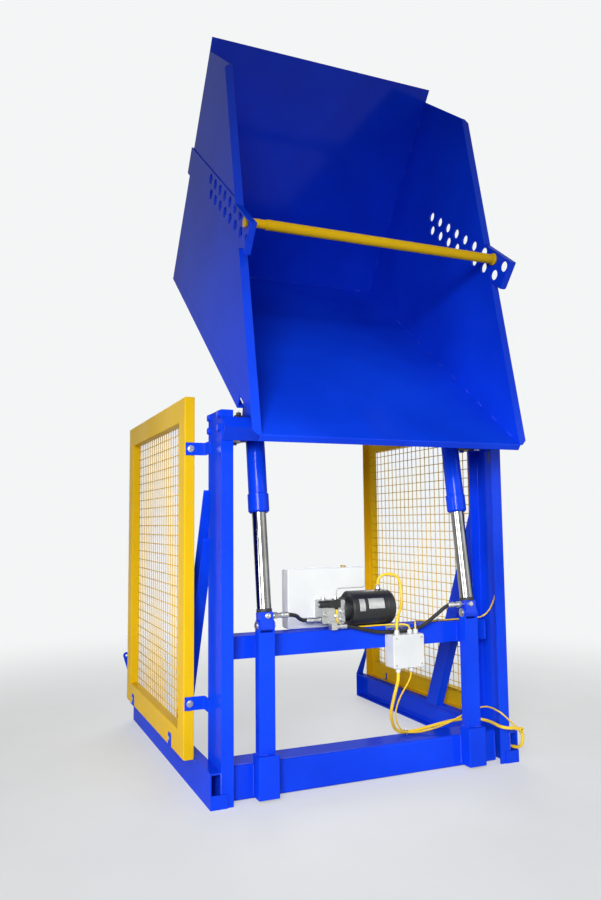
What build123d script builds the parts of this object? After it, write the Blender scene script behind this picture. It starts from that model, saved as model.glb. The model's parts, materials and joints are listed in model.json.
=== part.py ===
import math
import os

from build123d import *

os.makedirs("parts", exist_ok=True)

# Chute: an open sheet-metal box that tips over the frame's front
sheet = 6.0
chute_width = 1338.0
slide_length = 1931.0
slide_angle = 38.3
platform_depth = 1291.0
platform_low = 92.0
wall_depth = 1222.0
wall_top = 468.0
edge_flange = 34.0
edge_flange_corner = 22.0
lip_flange = 32.0
lip_bend = 5.0
chute_rail_depth = 64.0
chute_rail_flange = 35.0
chute_rail_setback = 8.0
stiffener_depth = 34.0

# Hole plates on the walls and the bar they hold
plate_low = 566.0
plate_depth = 145.0
plate_front = 595.0
plate_rim = 28.0
plate_rim_length = 285.0
plate_bend = 5.0
plate_corner = 12.0
plate_gap = 1.0
hole_diameter = 52.0
hole_pitch = 101.6
first_hole = 38.2
low_row = 41.0
high_row = 106.0
low_row_count = 8
high_row_count = 9
holes_before_bar_count = 1
bar_diameter = 48.3
bar_fit = 0.3
bar_wall = 3.2
bar_neck_diameter = 41.0
bar_neck_end = 105.0
bar_head_length = 24.0
bar_overhang = 9.0
bar_collar_diameter = 62.0
bar_collar_width = 12.0
bar_collar_round = 5.0
bar_collar_gap = 0.5

# Columns, floor rails and cross beams
chute_gap = 30.0
column_height = 1730.0
column_depth = 203.0
column_flange = 57.0
column_web = 6.0
column_flange_thickness = 9.5
rail_overrun = 47.0
rail_height = 152.0
rail_flange = 49.0
rail_web = 6.0
rail_flange_thickness = 9.0
root_radius = 4.0
anchor_hole = 18.0
anchor_inset = 120.0
tie_plate_thickness = 6.0
tie_plate_width = 78.0
tie_plate_height = 60.0
lower_beam_size = 152.0
lower_beam_wall = 6.4
lower_beam_radius = 12.0
lower_beam_inset = 2.0
lower_beam_lift = 4.0
middle_beam_leg = 102.0
middle_beam_top = 707.0
angle_thickness = 6.4
top_beam_leg = 76.0
top_beam_drop = 86.0
brace_top = 1374.0
brace_foot = 740.0
brace_depth = 96.0
brace_width = 50.0
brace_wall = 6.0
brace_inset = 27.0

# Eye plates on the rear ends of the rails
rear_plate_thickness = 8.0
eye_height = 398.0
eye_offset = 49.0
eye_plate_radius = 20.0
eye_hole = 14.0
waist_height = 305.0
waist_offset = 18.0
waist_width = 22.0

# Ram posts and their sockets
post_width = 76.0
post_depth = 51.0
post_wall = 6.4
post_bottom = 20.0
post_top = 785.0
clevis_depth = 55.0
clevis_radius = 20.0
pin_drop = 26.0
post_tie_width = 40.0
socket_wall = 6.0
socket_height = 184.0
socket_bottom = 16.0
socket_side_gap = 5.5
socket_front_gap = 20.0
socket_fit = 0.2

# Rams
running_fit = 0.05
ear_inset = 59.0
ear_thickness = 20.0
barrel_to_ear = 2.5
pin_diameter = 30.0
pin_overhang = 8.0
ram_diameter = 67.0
ram_block_top = 58.0
ram_block_fit = 0.6
ram_block_radius = 28.0
ram_end = 680.0
ram_stop_length = 12.0
ram_stop_fit = 0.5
gland_start = 512.0
gland_length = 90.0
gland_diameter = 99.0
gland_bevel = 8.0
gland_top_bevel = 3.0
barrel_diameter = 89.0
barrel_bore = 76.0
barrel_cap_gap = 50.0
barrel_cap_thickness = 7.0
barrel_eye_radius = 28.0
barrel_eye_width = 60.0
bracket_gap = 3.0
bracket_ear_thickness = 12.0
bracket_base = 8.0
bracket_front = 55.0
bracket_rear = 40.0
bracket_clearance = 2.4
bracket_radius = 30.0
ram_bracket_reach = 202.3
port_height = 41.0
port_length = 46.0
port_diameter = 24.0
port_nut_flats = 30.0
port_nut_length = 16.0
port_nut_inset = 18.0

# Pivot: ears, shafts, pillow blocks and their shelves
pivot_inset = 108.0
pivot_drop = 60.0
rail_swing_gap = 7.6
ear_radius = 45.0
ear_front = 60.0
ear_rear = 120.0
shaft_diameter = 50.0
shaft_overhang = 2.0
collar_diameter = 68.0
collar_width = 15.0
shaft_tail = 6.0
ear_to_bearing = 4.0
bearing_width = 48.0
bearing_body = 36.0
bearing_hub = 38.0
bearing_boss = 24.0
bearing_boss_height = 12.0
bearing_foot_bevel = 8.0
bearing_height = 62.0
bearing_radius = 52.0
bearing_half_length = 85.0
bearing_base = 18.0
bearing_bolt_offset = 68.0
shelf_thickness = 12.0
bracket_plate = 10.0
bracket_plate_fit = 0.3
bracket_rib = 8.0
bracket_rib_reach = 48.0
bracket_rib_height = 92.0
web_bolt_pitch_y = 152.0
web_bolt_pitch_z = 61.0
web_bolt_drop = 19.5
bracket_top_gap = 5.0
collar_gap = 0.5

# Fasteners
big_bolt = 19.0
big_bolt_flats = 28.6
big_bolt_head = 12.0
small_bolt = 16.0
small_bolt_flats = 24.0
small_bolt_head = 10.0
bolt_fit = 0.5

# Side guards of formed sheet and welded mesh
guard_gap = 4.0
guard_thickness = 49.0
guard_front = 254.0
guard_length = 1389.0
guard_bottom = 144.0
guard_height = 1677.0
guard_member = 114.0
guard_sheet = 3.0
guard_bend = 5.0
mesh_pitch = 50.8
mesh_wire = 4.5
mesh_gap = 0.05
notch_width = 22.0
notch_height = 45.0
notch_front = 262.0
notch_rear = 200.0
tab_thickness = 6.0
tab_bend = 4.0
tab_height = 60.0
tab_lap = 43.0
tab_reach = 97.0
tab_low = 395.0
tab_high = 1572.0
tab_bolt_inset = 25.0
ledge_length = 190.0
ledge_leg = 50.0
ledge_thickness = 6.0
ledge_bolt_inset = 26.0

# Power unit on the middle beam
motor_depth = 150.0
motor_lift = 3.0
motor_radius = 86.0
motor_left = -75.0
motor_length = 195.0
motor_end_wall = 10.0
motor_chamfer = 6.0
motor_flange_radius = 58.0
motor_flange_length = 30.0
stator_bore = 60.0
rotor_gap = 0.5
rotor_end_gap = 20.0
rotor_shaft = 20.0
bell_length = 47.0
bell_round = 26.0
bell_bore_depth = 22.0
foot_left = -15.0
foot_width = 91.0
foot_depth = 68.0
foot_height = 40.0
conduit_x = 100.0
conduit_radius = 11.0
conduit_height = 22.0
manifold_width = 123.0
manifold_height = 109.0
manifold_lift = 29.0
manifold_front = 105.0
manifold_rear = 190.0
manifold_chamfer = 5.0
valve_radius = 17.5
valve_length = 60.0
valve_body_width = 30.0
valve_connector_width = 38.0
valve_connector_depth = 19.0
valve_connector_drop = 5.0
valve_body_lap = 15.0
valve_drop = 14.5
valve_overhang = 22.0
elbow_offset = 33.0
elbow_width = 30.0
elbow_height = 36.0
elbow_reach = 37.0
elbow_lift = 2.0
stub_length = 15.0
stub_radius = 11.0
stub_inset = 14.0
side_port_length = 34.0
side_port_depth = 128.0
side_port_height = 18.0
tank_gap = 1.0
tank_width = 264.0
tank_depth = 72.0
tank_height = 288.0
tank_overhang = 160.0
tank_shelf = 183.0
tank_round = 14.0
tank_edge = 8.0
breather_x = -55.0
breather_radius = 14.0
breather_height = 9.0
breather_chamfer = 3.0

# Control box and its strap
strap_thickness = 3.0
strap_left = 112.0
strap_width = 138.0
strap_height = 70.0
box_left = 108.0
box_width = 172.0
box_height = 160.0
box_depth = 73.0
box_wall = 4.0
box_top = 672.0
box_round = 8.0
lid_depth = 10.0
lid_round = 4.0
entry_radius = 12.0
entry_length = 14.0
entry_depth = 60.0
top_entries = (140.0, 213.0, 245.0)
bottom_entries = (144.0, 217.0)
slot_pitch = 44.0
slot_length = 30.0
slot_width = 9.0
slot_drop = 17.0
switch_width = 22.0
switch_depth = 44.0
switch_height = 55.0
switch_gap = 11.0
switch_centre = 45.0
switch_chamfer = 4.0

# Hoses and cables
hose_diameter = 19.0
lead_diameter = 14.0
thin_diameter = 8.0
supply_diameter = 16.0
hose_clearance = 0.5
bend_share = 0.45
cable_end_radius = 12.0
cable_end_length = 14.0
control_end_x = 780.0
control_end_reach = 62.0
control_end_z = 178.0
clip_width = 10.0
clip_wall = 2.5
clip_room = 2.0
clip_height = 1100.0

# Places that follow from the sizes above
chute_half = chute_width / 2
chute_outer = chute_half + sheet
column_toe = chute_outer + chute_gap
half_width = column_toe + column_flange
rail_outer = half_width + rail_flange
rail_length = guard_front + guard_length + rail_overrun
front_y = -rail_length / 2
rear_y = rail_length / 2
column_rear = front_y + column_depth
lower_beam_y = column_rear - lower_beam_inset - lower_beam_size
lower_beam_top = lower_beam_lift + lower_beam_size
middle_beam_y = column_rear - middle_beam_leg
pivot_y = front_y + pivot_inset
pivot_z = column_height - pivot_drop
pivot_s = platform_low - pivot_z + slide_length
pivot_n = -(column_depth - pivot_inset + rail_swing_gap + chute_rail_depth + sheet)
slope = math.radians(slide_angle)
slide_dir = Vector(0, math.cos(slope), math.sin(slope))
normal_dir = Vector(0, -math.sin(slope), math.cos(slope))
lip = Vector(0, pivot_y, pivot_z) - slide_dir * pivot_s - normal_dir * pivot_n
chute_plane = Plane(origin=lip, x_dir=slide_dir, z_dir=(1, 0, 0))
ear_outer = chute_outer - ear_inset
ear_inner = ear_outer - ear_thickness
ram_x = ear_inner - barrel_to_ear - barrel_diameter / 2
post_y = lower_beam_y - post_depth / 2
low_pin_z = post_top - pin_drop
upper_pin_s = pivot_s + ram_bracket_reach
upper_pin_n = -(sheet + bracket_base + bracket_clearance + barrel_eye_radius)
low_pin = Vector(-ram_x, post_y, low_pin_z)
high_pin = lip + slide_dir * upper_pin_s + normal_dir * upper_pin_n - Vector(ram_x, 0, 0)
ram_axis = (high_pin - low_pin).normalized()
ram_length = (high_pin - low_pin).length
ram_plane = Plane(origin=low_pin, x_dir=(1, 0, 0), z_dir=ram_axis)
ram_side = Plane(origin=low_pin, x_dir=(0, ram_axis.Z, -ram_axis.Y), z_dir=(1, 0, 0))
plate_outer = chute_outer + sheet
stiffener_back = slide_length + sheet + stiffener_depth
edge_run = slide_length - wall_top
bearing_inner = ear_outer + ear_to_bearing
bearing_outer = bearing_inner + bearing_width
shelf_top = pivot_z - bearing_height
bracket_face = half_width - column_web - bracket_plate
guard_inner = rail_outer + guard_gap
guard_outer = guard_inner + guard_thickness
guard_y = front_y + guard_front
guard_rear = guard_y + guard_length
open_y = guard_length - 2 * guard_member
open_z = guard_height - 2 * guard_member
motor_y = front_y + motor_depth
motor_z = middle_beam_top + motor_lift + motor_radius
motor_right = motor_left + motor_length
manifold_right = motor_left - motor_flange_length
manifold_left = manifold_right - manifold_width
manifold_y = front_y + manifold_front
manifold_z = middle_beam_top + manifold_lift
tank_y = front_y + manifold_rear
box_back = middle_beam_y - strap_thickness
port_y = post_y + port_height * ram_axis.Y
port_z = low_pin_z + port_height * ram_axis.Z
block_width = post_width - 2 * post_wall - 2 * ram_block_fit
port_x = ram_x - block_width / 2 - port_length


def channel(plane, depth, flange, web, flange_thickness):
    """Channel section: web along local y at x = 0, toes pointing to local +x."""
    with BuildSketch(plane) as section:
        Rectangle(flange, depth, align=(Align.MIN, Align.MIN))
        with Locations((web, flange_thickness)):
            hollow = (flange - web, depth - 2 * flange_thickness)
            Rectangle(*hollow, align=(Align.MIN, Align.MIN), mode=Mode.SUBTRACT)
        roots = section.vertices().filter_by_position(Axis.X, web - 0.1, web + 0.1)
        fillet(roots, root_radius)
    return section.sketch


def angle(plane, leg, thickness):
    """Equal angle section: heel at the local origin, legs along local +x and +y."""
    with BuildSketch(plane) as section:
        Rectangle(leg, leg, align=(Align.MIN, Align.MIN))
        with Locations((thickness, thickness)):
            Rectangle(leg, leg, align=(Align.MIN, Align.MIN), mode=Mode.SUBTRACT)
        root = section.vertices().sort_by_distance((thickness, thickness))[0]
        fillet(root, root_radius)
    return section.sketch


def hex_bolt(plane, grip, diameter, flats, head):
    """Bolt with its head on the plane and its nut at the far side of the grip."""
    with BuildPart() as bolt:
        with BuildSketch(plane):
            RegularPolygon(flats / 2, 6, major_radius=False)
        extrude(amount=head)
        with BuildSketch(plane):
            Circle(diameter / 2)
        extrude(amount=-grip)
        with BuildSketch(plane.offset(-grip)):
            RegularPolygon(flats / 2, 6, major_radius=False)
        extrude(amount=-head)
    return bolt.part


def round_line(name, points, diameter):
    """Hose or cable along a hand-placed route, with each bend as wide as its runs allow."""
    route = [Vector(x, front_y + depth, z) for x, depth, z in points]
    radii = []
    for before, here, after in zip(route, route[1:], route[2:]):
        turn = math.radians((here - before).get_angle(after - here))
        run = min((here - before).length, (after - here).length)
        radii.append(bend_share * run / math.tan(turn / 2))
    with BuildLine() as path:
        FilletPolyline(*route, radius=radii)
    with BuildSketch(Plane(origin=path.line @ 0, z_dir=path.line % 0)) as section:
        Circle(diameter / 2)
    with BuildPart() as line:
        sweep(section.sketch, path=path.line)
    length = sum(edge.length for edge in path.edges())
    ratio = line.part.volume / (math.pi * diameter**2 / 4 * length)
    print(f"{name}: length {length:.0f}, least radius {min(radii):.0f}, volume ratio {ratio:.4f}")
    return line.part


def mirrored(part):
    """The same piece on the other side of the machine."""
    with BuildPart() as other:
        mirror(part, about=Plane.YZ)
    return other


def pair(part):
    """A piece together with its mirror image, as two solids."""
    with BuildPart() as both:
        add(part)
        mirror(part, about=Plane.YZ)
    return both


# Floor rails: channels with the toes against the columns
with BuildPart() as left_rail:
    rail_end = Plane(origin=(-rail_outer, front_y, 0), x_dir=(1, 0, 0), z_dir=(0, -1, 0))
    extrude(channel(rail_end, rail_height, rail_flange, rail_web, rail_flange_thickness), amount=-rail_length)
    with BuildSketch(Plane.XY):
        with Locations((-half_width - (rail_flange - rail_web) / 2, 0)):
            with GridLocations(1, rail_length - 2 * anchor_inset, 1, 2):
                Circle(anchor_hole / 2)
    extrude(amount=rail_flange_thickness, mode=Mode.SUBTRACT)
right_rail = mirrored(left_rail.part)

# Columns: channels facing each other, drilled for the bearing brackets
web_bolt_y = front_y + column_depth / 2
web_bolt_z = column_height - web_bolt_drop - web_bolt_pitch_z / 2
with BuildPart() as left_column:
    column_foot = Plane(origin=(-half_width, front_y, 0))
    section = channel(column_foot, column_depth, column_flange, column_web, column_flange_thickness)
    extrude(section, amount=column_height)
    with BuildSketch(Plane.YZ.offset(-half_width)):
        with Locations((web_bolt_y, web_bolt_z)):
            with GridLocations(web_bolt_pitch_y, web_bolt_pitch_z, 2, 2):
                Circle(big_bolt / 2 + bolt_fit)
    extrude(amount=column_web, mode=Mode.SUBTRACT)
right_column = mirrored(left_column.part)

# Plates on the rail ends: a tie to the column in front, an eye plate behind
with BuildPart() as left_end_plates:
    with BuildSketch(rail_end):
        Rectangle(tie_plate_width, tie_plate_height, align=(Align.MIN, Align.MIN))
    extrude(amount=tie_plate_thickness)
    rail_back = Plane(origin=(0, rear_y, 0), x_dir=(-1, 0, 0), z_dir=(0, 1, 0))
    waist_x = rail_outer + waist_offset
    with BuildSketch(rail_back):
        with BuildLine():
            Polyline(
                (half_width, 0),
                (rail_outer, 0),
                (rail_outer, rail_height),
                (waist_x + waist_width, waist_height),
                (waist_x, waist_height),
                (half_width, rail_height),
                close=True,
            )
        make_face()
    extrude(amount=rear_plate_thickness)
    with BuildSketch(rail_back) as eye_arm:
        with Locations((rail_outer + eye_offset, eye_height)):
            Circle(eye_plate_radius)
        with Locations((waist_x + waist_width / 2, waist_height)):
            Rectangle(waist_width, sheet)
        make_hull(eye_arm.edges())
        with Locations((rail_outer + eye_offset, eye_height)):
            Circle(eye_hole / 2, mode=Mode.SUBTRACT)
    extrude(amount=rear_plate_thickness)
rail_end_plates = pair(left_end_plates.part)

# Cross beams between the columns
with BuildPart() as lower_beam:
    with BuildSketch(Plane.YZ.offset(-column_toe)):
        with Locations((lower_beam_y + lower_beam_size / 2, lower_beam_lift + lower_beam_size / 2)):
            RectangleRounded(lower_beam_size, lower_beam_size, lower_beam_radius)
            inside = lower_beam_size - 2 * lower_beam_wall
            RectangleRounded(inside, inside, lower_beam_radius - lower_beam_wall, mode=Mode.SUBTRACT)
    extrude(amount=2 * column_toe)

with BuildPart() as middle_beam:
    heel = Plane(origin=(column_toe, middle_beam_y, middle_beam_top), x_dir=(0, 1, 0), z_dir=(-1, 0, 0))
    extrude(angle(heel, middle_beam_leg, angle_thickness), amount=2 * column_toe)

with BuildPart() as top_beam:
    heel_y = front_y - (top_beam_leg + angle_thickness) / math.sqrt(2)
    heel_corner = (-half_width, heel_y, column_height - top_beam_drop)
    heel = Plane(origin=heel_corner, x_dir=(0, 1, -1), z_dir=(1, 0, 0))
    extrude(angle(heel, top_beam_leg, angle_thickness), amount=2 * half_width)

# Braces: channels from the columns' backs down to the rails
brace_y = front_y + brace_foot
brace_lean = math.atan2(brace_top - rail_height, brace_y - column_rear)
brace_drop = 1 / math.cos(brace_lean)
brace_run = 1 / math.sin(brace_lean)


def brace_face(inset):
    """Side outline of the brace, drawn in from its long edges by the inset."""
    low = brace_depth - inset
    with BuildSketch(Plane.YZ.offset(-half_width + brace_inset - brace_width)) as face:
        with BuildLine():
            Polyline(
                (column_rear, brace_top - inset * brace_drop),
                (brace_y - inset * brace_run, rail_height),
                (brace_y - low * brace_run, rail_height),
                (column_rear, brace_top - low * brace_drop),
                close=True,
            )
        make_face()
    return face.sketch


with BuildPart() as left_brace:
    extrude(brace_face(0), amount=brace_width)
    extrude(brace_face(brace_wall), amount=brace_width - brace_wall, mode=Mode.SUBTRACT)
braces = pair(left_brace.part)

# Ram posts: rectangular tubes with a clevis top, tied back to the middle beam
with BuildPart() as left_post:
    inner_width = post_width - 2 * post_wall
    with BuildSketch(Plane.XY.offset(post_bottom)):
        with Locations((-ram_x, post_y)):
            Rectangle(post_width, post_depth)
            Rectangle(inner_width, post_depth - 2 * post_wall, mode=Mode.SUBTRACT)
    extrude(amount=post_top - post_bottom)
    with BuildSketch(Plane.XY.offset(post_top)):
        with Locations((-ram_x, post_y)):
            Rectangle(inner_width, post_depth)
    extrude(amount=-clevis_depth, mode=Mode.SUBTRACT)
    fillet(left_post.edges().filter_by(Axis.X).group_by(Axis.Z)[-1], clevis_radius)
    with BuildSketch(Plane.YZ.offset(-ram_x - post_width / 2)):
        with Locations((post_y, low_pin_z)):
            Circle(pin_diameter / 2 + running_fit)
    extrude(amount=post_width, mode=Mode.SUBTRACT)
    with BuildSketch(Plane.XY.offset(middle_beam_top)):
        with Locations((-ram_x, middle_beam_y)):
            tie_length = middle_beam_y - lower_beam_y
            Rectangle(post_tie_width, tie_length, align=(Align.CENTER, Align.MAX))
    extrude(amount=-middle_beam_leg)
right_post = mirrored(left_post.part)

# Sockets: formed collars round the posts' feet, against the lower beam
with BuildPart() as left_socket:
    socket_width = post_width + 2 * (socket_side_gap + socket_wall)
    socket_depth = post_depth + socket_front_gap + socket_wall
    with BuildSketch(Plane.XY.offset(socket_bottom)):
        with Locations((-ram_x, lower_beam_y)):
            Rectangle(socket_width, socket_depth, align=(Align.CENTER, Align.MAX))
    extrude(amount=socket_height)
    fillet(left_socket.edges().filter_by(Axis.Z).group_by(Axis.Y)[0], socket_wall)
    with BuildSketch(Plane.XY.offset(socket_bottom)):
        with Locations((-ram_x, lower_beam_y)):
            room = (socket_width - 2 * socket_wall, socket_depth - socket_wall)
            Rectangle(*room, align=(Align.CENTER, Align.MAX))
    extrude(amount=socket_height - socket_wall, mode=Mode.SUBTRACT)
    with BuildSketch(Plane.XY.offset(socket_bottom + socket_height)):
        with Locations((-ram_x, lower_beam_y)):
            room = (post_width + 2 * socket_fit, post_depth + socket_fit)
            Rectangle(*room, align=(Align.CENTER, Align.MAX))
    extrude(amount=-socket_wall, mode=Mode.SUBTRACT)
post_sockets = pair(left_socket.part)

# Guard frames: one formed sheet ring, open on the inside
guard_mid = (guard_y + guard_length / 2, guard_bottom + guard_height / 2)
notch_ys = (guard_y + notch_front, guard_rear - notch_rear)
tab_heights = (tab_low, tab_high)
tab_bolt_x = half_width + tab_reach - tab_bolt_inset
ledge_bolt_x = rail_outer + ledge_bolt_inset
with BuildPart() as left_guard_frame:
    with BuildSketch(Plane.YZ.offset(-guard_outer)):
        with Locations(guard_mid):
            Rectangle(guard_length, guard_height)
            Rectangle(open_y, open_z, mode=Mode.SUBTRACT)
    extrude(amount=guard_thickness)
    fillet(left_guard_frame.faces().sort_by(Axis.X)[0].edges(), guard_bend)
    with BuildSketch(Plane.YZ.offset(-guard_inner)):
        with Locations(guard_mid):
            Rectangle(guard_length - 2 * guard_sheet, guard_height - 2 * guard_sheet)
            Rectangle(open_y + 2 * guard_sheet, open_z + 2 * guard_sheet, mode=Mode.SUBTRACT)
    extrude(amount=guard_sheet - guard_thickness, mode=Mode.SUBTRACT)
    with BuildSketch(Plane.YZ.offset(-guard_outer)):
        with Locations(*[(y, guard_bottom) for y in notch_ys]):
            Rectangle(notch_width, 2 * notch_height)
    extrude(amount=2 * guard_sheet, mode=Mode.SUBTRACT)
    with BuildSketch(Plane.XZ.offset(-guard_y)):
        with Locations(*[(-tab_bolt_x, z) for z in tab_heights]):
            Circle(small_bolt / 2 + bolt_fit)
    extrude(amount=-guard_sheet, mode=Mode.SUBTRACT)
    with BuildSketch(Plane.XY.offset(guard_bottom)):
        with Locations(*[(-ledge_bolt_x, y) for y in notch_ys]):
            Circle(small_bolt / 2 + bolt_fit)
    extrude(amount=guard_sheet, mode=Mode.SUBTRACT)
right_guard_frame = mirrored(left_guard_frame.part)

# Guard mesh: upright wires inside, level wires outside, welded where they cross
with BuildPart() as left_guard_mesh:
    upright_count = int(open_y // mesh_pitch)
    level_count = int(open_z // mesh_pitch)
    with BuildSketch(Plane.XY.offset(guard_bottom + guard_member)):
        with Locations((-guard_inner - mesh_wire / 2, guard_mid[0])):
            with GridLocations(mesh_pitch, mesh_pitch, 1, upright_count):
                Rectangle(mesh_wire, mesh_wire)
    extrude(amount=open_z)
    with BuildSketch(Plane.XZ.offset(-guard_y - guard_member)):
        with Locations((-guard_inner - 1.5 * mesh_wire - mesh_gap, guard_mid[1])):
            with GridLocations(mesh_pitch, mesh_pitch, 1, level_count):
                Rectangle(mesh_wire, mesh_wire)
    extrude(amount=-open_y)
right_guard_mesh = mirrored(left_guard_mesh.part)

# Guard brackets: bent straps on the columns and ledge angles on the rails
with BuildPart() as left_guard_brackets:
    for height in tab_heights:
        with BuildSketch(Plane.XY.offset(height - tab_height / 2)) as strap:
            with Locations((-half_width, column_rear - tab_lap)):
                Rectangle(tab_thickness, guard_front - column_depth + tab_lap, align=(Align.MAX, Align.MIN))
            with Locations((-half_width, guard_y)):
                Rectangle(tab_reach, tab_thickness, align=(Align.MAX, Align.MAX))
            fillet(strap.vertices().sort_by_distance((-half_width, guard_y))[0], tab_bend + tab_thickness)
            inner_bend = (-half_width - tab_thickness, guard_y - tab_thickness)
            fillet(strap.vertices().sort_by_distance(inner_bend)[0], tab_bend)
        extrude(amount=tab_height)
    with BuildSketch(Plane.XZ.offset(-guard_y)):
        with Locations(*[(-tab_bolt_x, z) for z in tab_heights]):
            Circle(small_bolt / 2 + bolt_fit)
    extrude(amount=tab_thickness, mode=Mode.SUBTRACT)
    for y in notch_ys:
        ledge_start = (-rail_outer, y - ledge_length / 2, guard_bottom)
        ledge_end = Plane(origin=ledge_start, x_dir=(-1, 0, 0), z_dir=(0, -1, 0))
        extrude(angle(ledge_end, ledge_leg, ledge_thickness), amount=-ledge_length)
    with BuildSketch(Plane.XY.offset(guard_bottom)):
        with Locations(*[(-ledge_bolt_x, y) for y in notch_ys]):
            Circle(small_bolt / 2 + bolt_fit)
    extrude(amount=-ledge_thickness, mode=Mode.SUBTRACT)
guard_brackets = pair(left_guard_brackets.part)

# Bearing brackets: a plate bolted in the column with a shelf for the bearing
bearing_mid = (bearing_inner + bearing_outer) / 2
bearing_bolt_ys = (pivot_y - bearing_bolt_offset, pivot_y + bearing_bolt_offset)
with BuildPart() as left_bearing_bracket:
    plate_width = column_depth - 2 * (column_flange_thickness + bracket_plate_fit)
    with BuildSketch(Plane.XY.offset(shelf_top - shelf_thickness)) as plate_section:
        with Locations((-half_width + column_web, web_bolt_y)):
            Rectangle(bracket_plate, plate_width, align=(Align.MIN, Align.CENTER))
        chamfer(plate_section.vertices().group_by(Axis.X)[0], root_radius + bracket_plate_fit)
    extrude(amount=column_height - bracket_top_gap - shelf_top + shelf_thickness)
    with BuildSketch(Plane.XY.offset(shelf_top)):
        with Locations((-bracket_face, web_bolt_y)):
            Rectangle(bracket_face - column_toe, plate_width, align=(Align.MIN, Align.CENTER))
        with Locations((-bearing_inner, pivot_y)):
            shelf = (column_toe - bearing_inner, 2 * bearing_half_length)
            Rectangle(*shelf, align=(Align.MAX, Align.CENTER))
    extrude(amount=-shelf_thickness)
    with BuildSketch(Plane.XZ.offset(-web_bolt_y)):
        with BuildLine():
            Polyline(
                (-bracket_face, shelf_top),
                (-bracket_face, shelf_top + bracket_rib_height),
                (-bracket_face + bracket_rib_reach, shelf_top),
                close=True,
            )
        make_face()
    extrude(amount=bracket_rib / 2, both=True)
    with BuildSketch(Plane.YZ.offset(-bracket_face)):
        with Locations((web_bolt_y, web_bolt_z)):
            with GridLocations(web_bolt_pitch_y, web_bolt_pitch_z, 2, 2):
                Circle(big_bolt / 2 + bolt_fit)
    extrude(amount=-bracket_plate, mode=Mode.SUBTRACT)
    with BuildSketch(Plane.XY.offset(shelf_top)):
        with Locations(*[(-bearing_mid, y) for y in bearing_bolt_ys]):
            Circle(small_bolt / 2 + bolt_fit)
    extrude(amount=-shelf_thickness, mode=Mode.SUBTRACT)
bearing_brackets = pair(left_bearing_bracket.part)

# Pillow blocks: cast housings with a bolted foot, a wide inner ring and a boss on top
with BuildPart() as left_pillow_block:
    with BuildSketch(Plane.YZ.offset(-bearing_outer)) as foot:
        with Locations((pivot_y, shelf_top)):
            Rectangle(2 * bearing_half_length, bearing_base, align=(Align.CENTER, Align.MIN))
        chamfer(foot.vertices().group_by(Axis.Y)[-1], bearing_foot_bevel)
    extrude(amount=bearing_width)
    with BuildSketch(Plane.YZ.offset(-bearing_mid - bearing_body / 2)):
        with Locations((pivot_y, pivot_z)):
            Circle(bearing_radius)
        with Locations((pivot_y, shelf_top)):
            Rectangle(2 * bearing_radius, bearing_height, align=(Align.CENTER, Align.MIN))
    extrude(amount=bearing_body)
    with BuildSketch(Plane.YZ.offset(-bearing_outer)):
        with Locations((pivot_y, pivot_z)):
            Circle(bearing_hub)
    extrude(amount=bearing_width)
    with BuildSketch(Plane.XY.offset(pivot_z)):
        with Locations((-bearing_mid, pivot_y)):
            Circle(bearing_boss / 2)
    extrude(amount=bearing_radius + bearing_boss_height)
    with BuildSketch(Plane.YZ.offset(-bearing_outer)):
        with Locations((pivot_y, pivot_z)):
            Circle(shaft_diameter / 2 + running_fit)
    extrude(amount=bearing_width, mode=Mode.SUBTRACT)
    with BuildSketch(Plane.XY.offset(shelf_top)):
        with Locations(*[(-bearing_mid, y) for y in bearing_bolt_ys]):
            Circle(small_bolt / 2 + bolt_fit)
    extrude(amount=bearing_base, mode=Mode.SUBTRACT)
pillow_blocks = pair(left_pillow_block.part)

# Bolts of the frame: bearing brackets, pillow blocks and guards
big_size = (big_bolt, big_bolt_flats, big_bolt_head)
small_size = (small_bolt, small_bolt_flats, small_bolt_head)
left_bolts = []
for y in (web_bolt_y - web_bolt_pitch_y / 2, web_bolt_y + web_bolt_pitch_y / 2):
    for z in (web_bolt_z - web_bolt_pitch_z / 2, web_bolt_z + web_bolt_pitch_z / 2):
        seat = Plane(origin=(-half_width, y, z), x_dir=(0, 0, 1), z_dir=(-1, 0, 0))
        left_bolts.append(hex_bolt(seat, column_web + bracket_plate, *big_size))
for y in bearing_bolt_ys:
    seat = Plane(origin=(-bearing_mid, y, shelf_top + bearing_base))
    left_bolts.append(hex_bolt(seat, bearing_base + shelf_thickness, *small_size))
for z in tab_heights:
    seat = Plane(origin=(-tab_bolt_x, guard_y - tab_thickness, z), x_dir=(0, 0, 1), z_dir=(0, -1, 0))
    left_bolts.append(hex_bolt(seat, tab_thickness + guard_sheet, *small_size))
for y in notch_ys:
    seat = Plane(origin=(-ledge_bolt_x, y, guard_bottom + guard_sheet))
    left_bolts.append(hex_bolt(seat, guard_sheet + ledge_thickness, *small_size))
with BuildPart() as left_frame_bolts:
    add(left_bolts)
frame_bolts = pair(left_frame_bolts.part)

# Lower ram pins through the clevises
with BuildPart() as left_lower_pin:
    with BuildSketch(Plane.YZ.offset(-ram_x - post_width / 2 - pin_overhang)):
        with Locations((post_y, low_pin_z)):
            Circle(pin_diameter / 2)
    extrude(amount=post_width + 2 * pin_overhang)
lower_pins = pair(left_lower_pin.part)

# Rams: rod with its stop, and the eye block with the oil port
with BuildPart() as left_ram:
    with BuildSketch(ram_plane.offset(ram_block_top)):
        Circle(ram_diameter / 2)
    extrude(amount=ram_end - ram_block_top)
    with BuildSketch(ram_plane.offset(ram_end)):
        Circle(barrel_bore / 2 - ram_stop_fit)
    extrude(amount=-ram_stop_length)
right_ram = mirrored(left_ram.part)

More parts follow.
